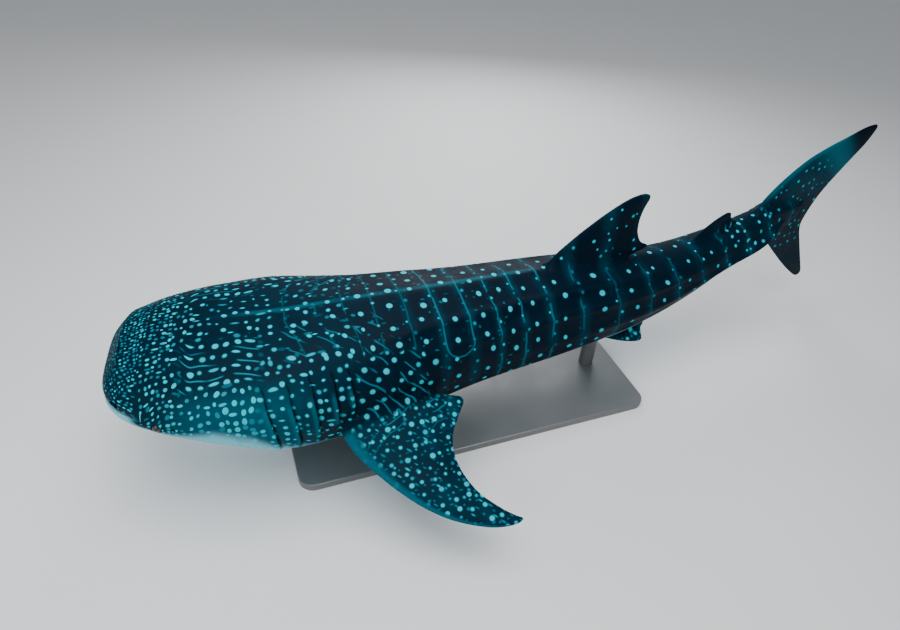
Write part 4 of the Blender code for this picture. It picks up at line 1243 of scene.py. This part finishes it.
    def body(self):
        """Brightness of the body's spots and lines."""
        head = self.snout() | self.crown() | self.cheek() | self.gills()
        return head | self.spots() | self.faint() | self.trunk_lines() | self.shoulder() | self.stalk()

    def fins(self, ahead, out, chord, span, paired, lone):
        """Dense dots and dashes on the paired fins, the small ones halfway between the big, with short lines
        near the root; and few small dots low on the dorsal and tail fins."""
        cell_ahead, cell_out = ahead / FIN_PITCH, out / FIN_PITCH
        big = self.even(cell_ahead, cell_out, FIN_PITCH, radius=0.0128, shake=0.5, variation=0.55)
        first, second = (ahead + out) / FIN_PITCH + 0.5, (ahead - out) / FIN_PITCH + 0.5
        small = self.even(first, second, 0.048, radius=0.0078, shake=0.55, variation=0.6, dashes=0.45)
        tiny = self.even(
            cell_ahead + 0.5, cell_out + 0.5, FIN_PITCH, radius=0.0056, shake=0.5, variation=0.5, dashes=0.5
        )
        pitch = 0.062
        lines = self.line((out * 0.85 + ahead * 0.5) / pitch, pitch, width=0.0065, wave=1.9, breaks=0.52)
        lines = lines * span.step(-0.35, -0.05, 0.42, 0.0)
        dense = big.glow(0.7) | small.glow(0.30, 0.75) * (small.chance > 0.20) | tiny.mask * 0.45 | lines
        dense = dense * chord.step(0.02, 0.13, 0.30, 1.0)
        pitch = 0.074
        few = self.even(ahead / pitch, out / pitch, pitch, radius=0.0105, shake=0.75, variation=0.7)
        kept = span.step(0.0, 0.16, 1.0, 0.0) * (few.chance > 0.38) * (out > -0.25)
        return paired * dense | lone * few.glow(0.4) * kept


def skin_material(settings):
    """Dark ground with haze, the pale belly, the spots and lines over both, and the fins' own tints, with
    painted highlights along the back's ridge, the gill flaps' edges and the fins' leading edges, and painted
    shade in the mouth, slits, nostrils, eyes' sockets and spiracles.
    """
    material, w, shader = new_material("spotted_skin", Specular_IOR_Level=0.045)
    pattern = SkinPattern(w, settings.spot_size)
    station = pattern.station
    kind = w.number("fin")
    chord, span, height = w.parts(w.vector("blade"))
    ahead, out, underside = w.parts(w.vector("flat"))
    grain = w.group(grain_group(), Place=pattern.place)
    clouds = grain["Clouds"]
    dorsal, tail, pectoral, pelvic = (
        kind.math("COMPARE", float(fin.kind), 0.5) for fin in (FIRST_DORSAL, CAUDAL, PECTORAL, PELVIC)
    )
    paired = pectoral | pelvic
    on_fin = (kind > 0.5) * height.step(0.015, 0.07)
    off_limit = span - dorsal * 0.25 - 0.52
    fins = pattern.fins(ahead, out, chord, off_limit, paired, dorsal | tail)
    mixed = w.node("ShaderNodeMix", {"data_type": "FLOAT"}, i0=on_fin, i2=pattern.body(), i3=fins)
    bright = Term(w, mixed.outputs[0])
    belly = w.number("belly") * ~(paired * ~underside * height.step(-0.01, 0.012))

    glow = station.step(0.25, 0.55) * station.step(0.80, 1.25, 1.0, 0.0) * pattern.down.step(0.45, 0.68)
    off_column = abs(pattern.columns.math("FRACT") - 0.5)
    bands = off_column.step(0.02, 0.30, 1.0, 0.0) * station.step(1.5, 1.9) * clouds.step(0.35, 0.60)
    upper_lobe = tail * out.step(0.10, 0.30)
    # Painted highlight: the top side of the pectoral fins' leading edges is paler, as if lit from above
    leading = pectoral * on_fin * ~underside * chord.step(0.03, 0.115, 1.0, 0.0)
    # Painted highlight: a pale line along the upper tail lobe's leading edge
    margin = upper_lobe * chord.step(0.03, 0.12, 1.0, 0.0) * span.step(0.70, 0.80, 1.0, 0.0)
    veil = station.step(1.2, 1.8, 0.35, 0.08) + station.step(3.6, 5.0, 0.0, 0.22) + paired * on_fin * 0.42
    back, haze, line = settings.back_colour, settings.haze_colour, settings.line_and_highlight_colour
    spot, pale = settings.spot_colour, settings.belly_colour
    ground = w.mix(clouds * veil, back, haze)
    for share, colour in (
        (glow * 0.70, haze),
        (glow * 0.30, line),
        # Painted highlight along the gill flaps' raised edges
        (w.number("edge") * 0.65, line),
        (bands * 0.45, haze),
        # Painted highlight along the back's middle ridge
        (pattern.painted_ridge_highlight() * 0.60, line),
        ((belly * ~on_fin) | (paired * underside * 0.85), pale),
        # Painted highlight on the top of the pectoral fins' leading edges
        (leading * 0.62, line),
        (upper_lobe * span.step(0.12, 0.40) * 0.55, haze),
        (upper_lobe * span.between(0.58, 0.74, 0.09) * 0.80, line),
        (upper_lobe * span.step(0.74, 0.84), back),
        # Painted highlight along the upper tail lobe's leading edge
        (margin * height.step(0.04, 0.16) * 0.7, line),
        (bright.step(0.0, 0.5), line),
        (bright.step(0.5, 0.85), spot),
        (belly * ~on_fin * 0.85, pale),
        # Painted shade: near black inside the mouth, the gill slits, the nostrils, the eyes' sockets and the
        # spiracles
        (w.number("deep"), (0.001, 0.002, 0.004)),
    ):
        ground = w.mix(share, ground, colour)
    w.feed(shader["Base Color"], ground)
    w.feed(shader["Roughness"], clouds.step(0.3, 0.7, 0.44, 0.60))
    w.feed(shader["Normal"], w.bump(Strength=0.25, Distance=settings.bump_height, Height=grain["Height"]))
    return material


def eye_material(settings):
    """Black pupil, streaked iris and dark rim, by the angle from the eye's axis."""
    material, w, shader = new_material("glossy_eye", Roughness=0.10, Specular_IOR_Level=0.25, Coat_Weight=0.15)
    angle = w.number("from_axis")
    iris = w.mix(w.noise(w.vector("look"), 160.0, 3.0), settings.iris_colour, (0.020, 0.028, 0.032))
    colour = w.mix(angle.step(0.36, 0.41), (0.002, 0.002, 0.003), iris)
    w.feed(shader["Base Color"], w.mix(angle.step(0.66, 0.76), colour, (0.012, 0.018, 0.024)))
    return material


def stand_material(settings):
    """Painted steel with soft clouds and a fine grain."""
    material, w, shader = new_material("painted_steel", Metallic=0.55)
    place = w.place()
    cloud = w.noise(place, 3.0, 5.0, 0.6)
    low = [part * 0.86 for part in settings.steel_colour]
    w.feed(shader["Base Color"], w.mix(cloud, low, settings.steel_colour))
    w.feed(shader["Roughness"], cloud.step(0.3, 0.7, 0.38, 0.50))
    w.feed(shader["Normal"], w.bump(Strength=0.12, Distance=0.0006, Height=w.noise(place, 420.0)))
    return material


def floor_material(settings):
    """Matt floor with the faintest clouds."""
    material, w, shader = new_material("pale_floor", Roughness=0.7)
    low = [part * 0.96 for part in settings.floor_colour]
    w.feed(shader["Base Color"], w.mix(w.noise(w.place(), 0.8, 4.0), low, settings.floor_colour))
    return material


# Settings


class SkinSettings(bpy.types.PropertyGroup):
    back_colour: bpy.props.FloatVectorProperty(
        name="Back colour", description="Dark ground colour of the back and flanks",
        subtype="COLOR", size=3, default=(0.0, 0.0045, 0.0120), min=0, max=1,
    )
    haze_colour: bpy.props.FloatVectorProperty(
        name="Haze colour", description="Paler ground colour of the lower cheek, fin edges and cloudy patches",
        subtype="COLOR", size=3, default=(0.0, 0.042, 0.070), min=0, max=1,
    )
    belly_colour: bpy.props.FloatVectorProperty(
        name="Belly colour", description="Pale ground colour of the throat and belly",
        subtype="COLOR", size=3, default=(0.16, 0.47, 0.57), min=0, max=1,
    )
    spot_colour: bpy.props.FloatVectorProperty(
        name="Spot colour", description="Colour of the spots",
        subtype="COLOR", size=3, default=(0.0, 0.41, 0.51), min=0, max=1,
    )
    # The line colour also paints the highlights along the back's ridge, the gill flaps' edges and the fins'
    # leading edges
    line_and_highlight_colour: bpy.props.FloatVectorProperty(
        name="Line colour", description="Colour of the thin lines",
        subtype="COLOR", size=3, default=(0.0, 0.105, 0.150), min=0, max=1,
    )
    spot_size: bpy.props.FloatProperty(
        name="Spot size", description="Size of all spots, as a share of the young animal's",
        subtype="FACTOR", default=1.0, min=0.5, max=1.5,
    )
    bump_height: bpy.props.FloatProperty(
        name="Grain height", description="Height of the skin's fine grain",
        subtype="DISTANCE", unit="LENGTH", default=0.002, min=0.0, max=0.01,
    )


class EyeSettings(bpy.types.PropertyGroup):
    iris_colour: bpy.props.FloatVectorProperty(
        name="Iris colour", description="Colour of the ring round the pupil",
        subtype="COLOR", size=3, default=(0.015, 0.022, 0.028), min=0, max=1,
    )
    eye_radius: bpy.props.FloatProperty(
        name="Eye radius", description="Radius of the eyes, which fit their sockets at 30 mm",
        subtype="DISTANCE", unit="LENGTH", default=EYE_RADIUS, min=0.026, max=0.034,
    )


class StandSettings(bpy.types.PropertyGroup):
    steel_colour: bpy.props.FloatVectorProperty(
        name="Steel colour", description="Colour of the stand's paint",
        subtype="COLOR", size=3, default=(0.17, 0.175, 0.18), min=0, max=1,
    )


class StageSettings(bpy.types.PropertyGroup):
    floor_colour: bpy.props.FloatVectorProperty(
        name="Floor colour", description="Colour of the studio floor",
        subtype="COLOR", size=3, default=(0.72, 0.73, 0.74), min=0, max=1,
    )
    floor_reach: bpy.props.FloatProperty(
        name="Floor reach", description="How far the floor reaches from the middle to each side",
        subtype="DISTANCE", unit="LENGTH", default=60.0, min=5.0, max=90.0,
    )
    light_power: bpy.props.FloatProperty(
        name="Light power", description="Power of the top light; the others keep their share of it",
        unit="POWER", default=520.0, min=0.0, max=5000.0,
    )
    camera_place: bpy.props.FloatVectorProperty(
        name="Camera place", description="Where the camera stands",
        subtype="TRANSLATION", size=3, default=(-1.5028, -3.1584, 3.5651),
    )
    camera_azimuth: bpy.props.FloatProperty(
        name="Camera azimuth", description="Compass direction from which the camera looks",
        subtype="ANGLE", default=math.radians(-23.37),
    )
    camera_elevation: bpy.props.FloatProperty(
        name="Camera elevation", description="How steeply the camera looks down",
        subtype="ANGLE", default=math.radians(38.945),
    )
    camera_roll: bpy.props.FloatProperty(
        name="Camera roll", description="How far the camera is turned about its own line of sight",
        subtype="ANGLE", default=math.radians(4.747),
    )
    camera_lens: bpy.props.FloatProperty(
        name="Lens", description="Focal length on a picture 36 mm wide",
        subtype="DISTANCE_CAMERA", unit="CAMERA", default=26.119, min=10, max=200,
    )


# Stage: place, diameter, share of the top light's power and aim of each light
LIGHTS = (
    ("light_top", (-0.5, -1.0, 6.5), 7.0, 1.0, (0, 0, 0.8)),
    ("light_left", (-5.5, -4.0, 3.6), 4.0, 23 / 52, (-0.5, 0, 0.8)),
    ("light_back", (2.5, 5.5, 4.0), 4.5, 26 / 52, (0.5, 0, 0.8)),
)
SKY_COLOUR = (0.86, 0.90, 0.94, 1)
SKY_STRENGTH = 0.42


def facing(place, back, roll=0.0):
    """Place and turn of a light or camera that looks against the direction back, with its right level but for
    the roll."""
    back = np.array(back) / np.linalg.norm(back)
    right = np.cross([0, 0, 1], back)
    right /= np.linalg.norm(right)
    up = np.cross(back, right)
    matrix = np.eye(4)
    matrix[:3, 0] = math.cos(roll) * right + math.sin(roll) * up
    matrix[:3, 1] = -math.sin(roll) * right + math.cos(roll) * up
    matrix[:3, 2], matrix[:3, 3] = back, place
    return Matrix(matrix.tolist())


def add_to_stage(data, matrix):
    """Puts a light or a camera into the scene."""
    made = bpy.data.objects.new(data.name, data)
    bpy.context.scene.collection.objects.link(made)
    made.matrix_world = matrix
    return made


# Operators


class SHARK_OT_skin(bpy.types.Operator):
    """Builds the whole skin of the shark, body and fins, as one piece"""

    bl_idname = "shark.skin"
    bl_label = "Skin"

    def execute(self, context):
        patchwork = Patchwork()
        add_body(patchwork)
        add_fins(patchwork)
        place = np.concatenate(patchwork.place)
        skin = mesh_of("shark_skin", to_model(*place.T), patchwork.faces)
        guides = {name: np.concatenate(values) for name, values in patchwork.guides.items()}
        give_guides(skin.data, {"straight": place, **guides})
        skin.data.materials.append(skin_material(context.scene.shark_skin))
        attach(skin, "root")
        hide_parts(*FLESH_NODES)
        return {"FINISHED"}


class SHARK_OT_eyes(bpy.types.Operator):
    """Builds the two glossy eyes"""

    bl_idname = "shark.eyes"
    bl_label = "Eyes"

    def execute(self, context):
        settings = context.scene.shark_eyes
        material = eye_material(settings)
        for side, sign in (("left", -1), ("right", 1)):
            ball = eye_ball("shark_eye_" + side, sign, settings.eye_radius)
            ball.data.materials.append(material)
            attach(ball, "root")
            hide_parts("eye_" + side)
        return {"FINISHED"}


class SHARK_OT_stand(bpy.types.Operator):
    """Paints the stand's base and rods"""

    bl_idname = "shark.stand"
    bl_label = "Stand"

    def execute(self, context):
        material = stand_material(context.scene.shark_stand)
        for name in ("stand_base", "stand_rod_front", "stand_rod_rear"):
            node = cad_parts[name]
            node.data.materials.clear()
            node.data.materials.append(material)
        return {"FINISHED"}


class SHARK_OT_stage(bpy.types.Operator):
    """Sets up the floor, the soft lights and the camera"""

    bl_idname = "shark.stage"
    bl_label = "Stage"

    def execute(self, context):
        settings = context.scene.shark_stage
        corners = settings.floor_reach * np.array([(-1, -1, 0), (1, -1, 0), (1, 1, 0), (-1, 1, 0)])
        floor = mesh_of("studio_floor", corners, [np.array([[0, 1, 2, 3]])])
        floor.data.materials.append(floor_material(settings))
        for name, place, size, share, aim in LIGHTS:
            light = bpy.data.lights.new(name, "AREA")
            light.shape = "DISK"
            light.size = size
            light.energy = settings.light_power * share
            add_to_stage(light, facing(place, np.subtract(place, aim)))
        world = bpy.data.worlds.new("studio")
        world.use_nodes = True
        sky = world.node_tree.nodes["Background"].inputs
        sky["Color"].default_value = SKY_COLOUR
        sky["Strength"].default_value = SKY_STRENGTH
        context.scene.world = world
        camera = bpy.data.cameras.new("camera")
        camera.lens = settings.camera_lens
        camera.sensor_width = 36.0
        camera.sensor_fit = "HORIZONTAL"
        camera.clip_end = 200.0
        azimuth, elevation = settings.camera_azimuth, settings.camera_elevation
        level = math.cos(elevation)
        back = (math.sin(azimuth) * level, -math.cos(azimuth) * level, math.sin(elevation))
        context.scene.camera = add_to_stage(camera, facing(settings.camera_place, back, settings.camera_roll))
        return {"FINISHED"}


class SHARK_PT_panel(bpy.types.Panel):
    """Lists the shark's pieces"""

    bl_idname = "SHARK_PT_panel"
    bl_label = "Whale shark"
    bl_space_type = "VIEW_3D"
    bl_region_type = "UI"
    bl_category = "Shark"

    def draw(self, context):
        for name, (_, operator) in PIECES.items():
            settings = getattr(context.scene, name)
            box = self.layout.box()
            for setting in settings.__annotations__:
                box.prop(settings, setting)
            box.operator(operator.bl_idname)


# Settings and operator of each piece
PIECES = {
    "shark_skin": (SkinSettings, SHARK_OT_skin),
    "shark_eyes": (EyeSettings, SHARK_OT_eyes),
    "shark_stand": (StandSettings, SHARK_OT_stand),
    "shark_stage": (StageSettings, SHARK_OT_stage),
}
CLASSES = (*(kind for pair in PIECES.values() for kind in pair), SHARK_PT_panel)


def register():
    for kind in CLASSES:
        bpy.utils.register_class(kind)
    for name, (settings, _) in PIECES.items():
        setattr(bpy.types.Scene, name, bpy.props.PointerProperty(type=settings))


def unregister():
    for name in PIECES:
        delattr(bpy.types.Scene, name)
    for kind in reversed(CLASSES):
        bpy.utils.unregister_class(kind)


def main():
    register()
    bpy.ops.shark.skin()
    bpy.ops.shark.eyes()
    bpy.ops.shark.stand()
    bpy.ops.shark.stage()


if __name__ == "__main__":
    main()
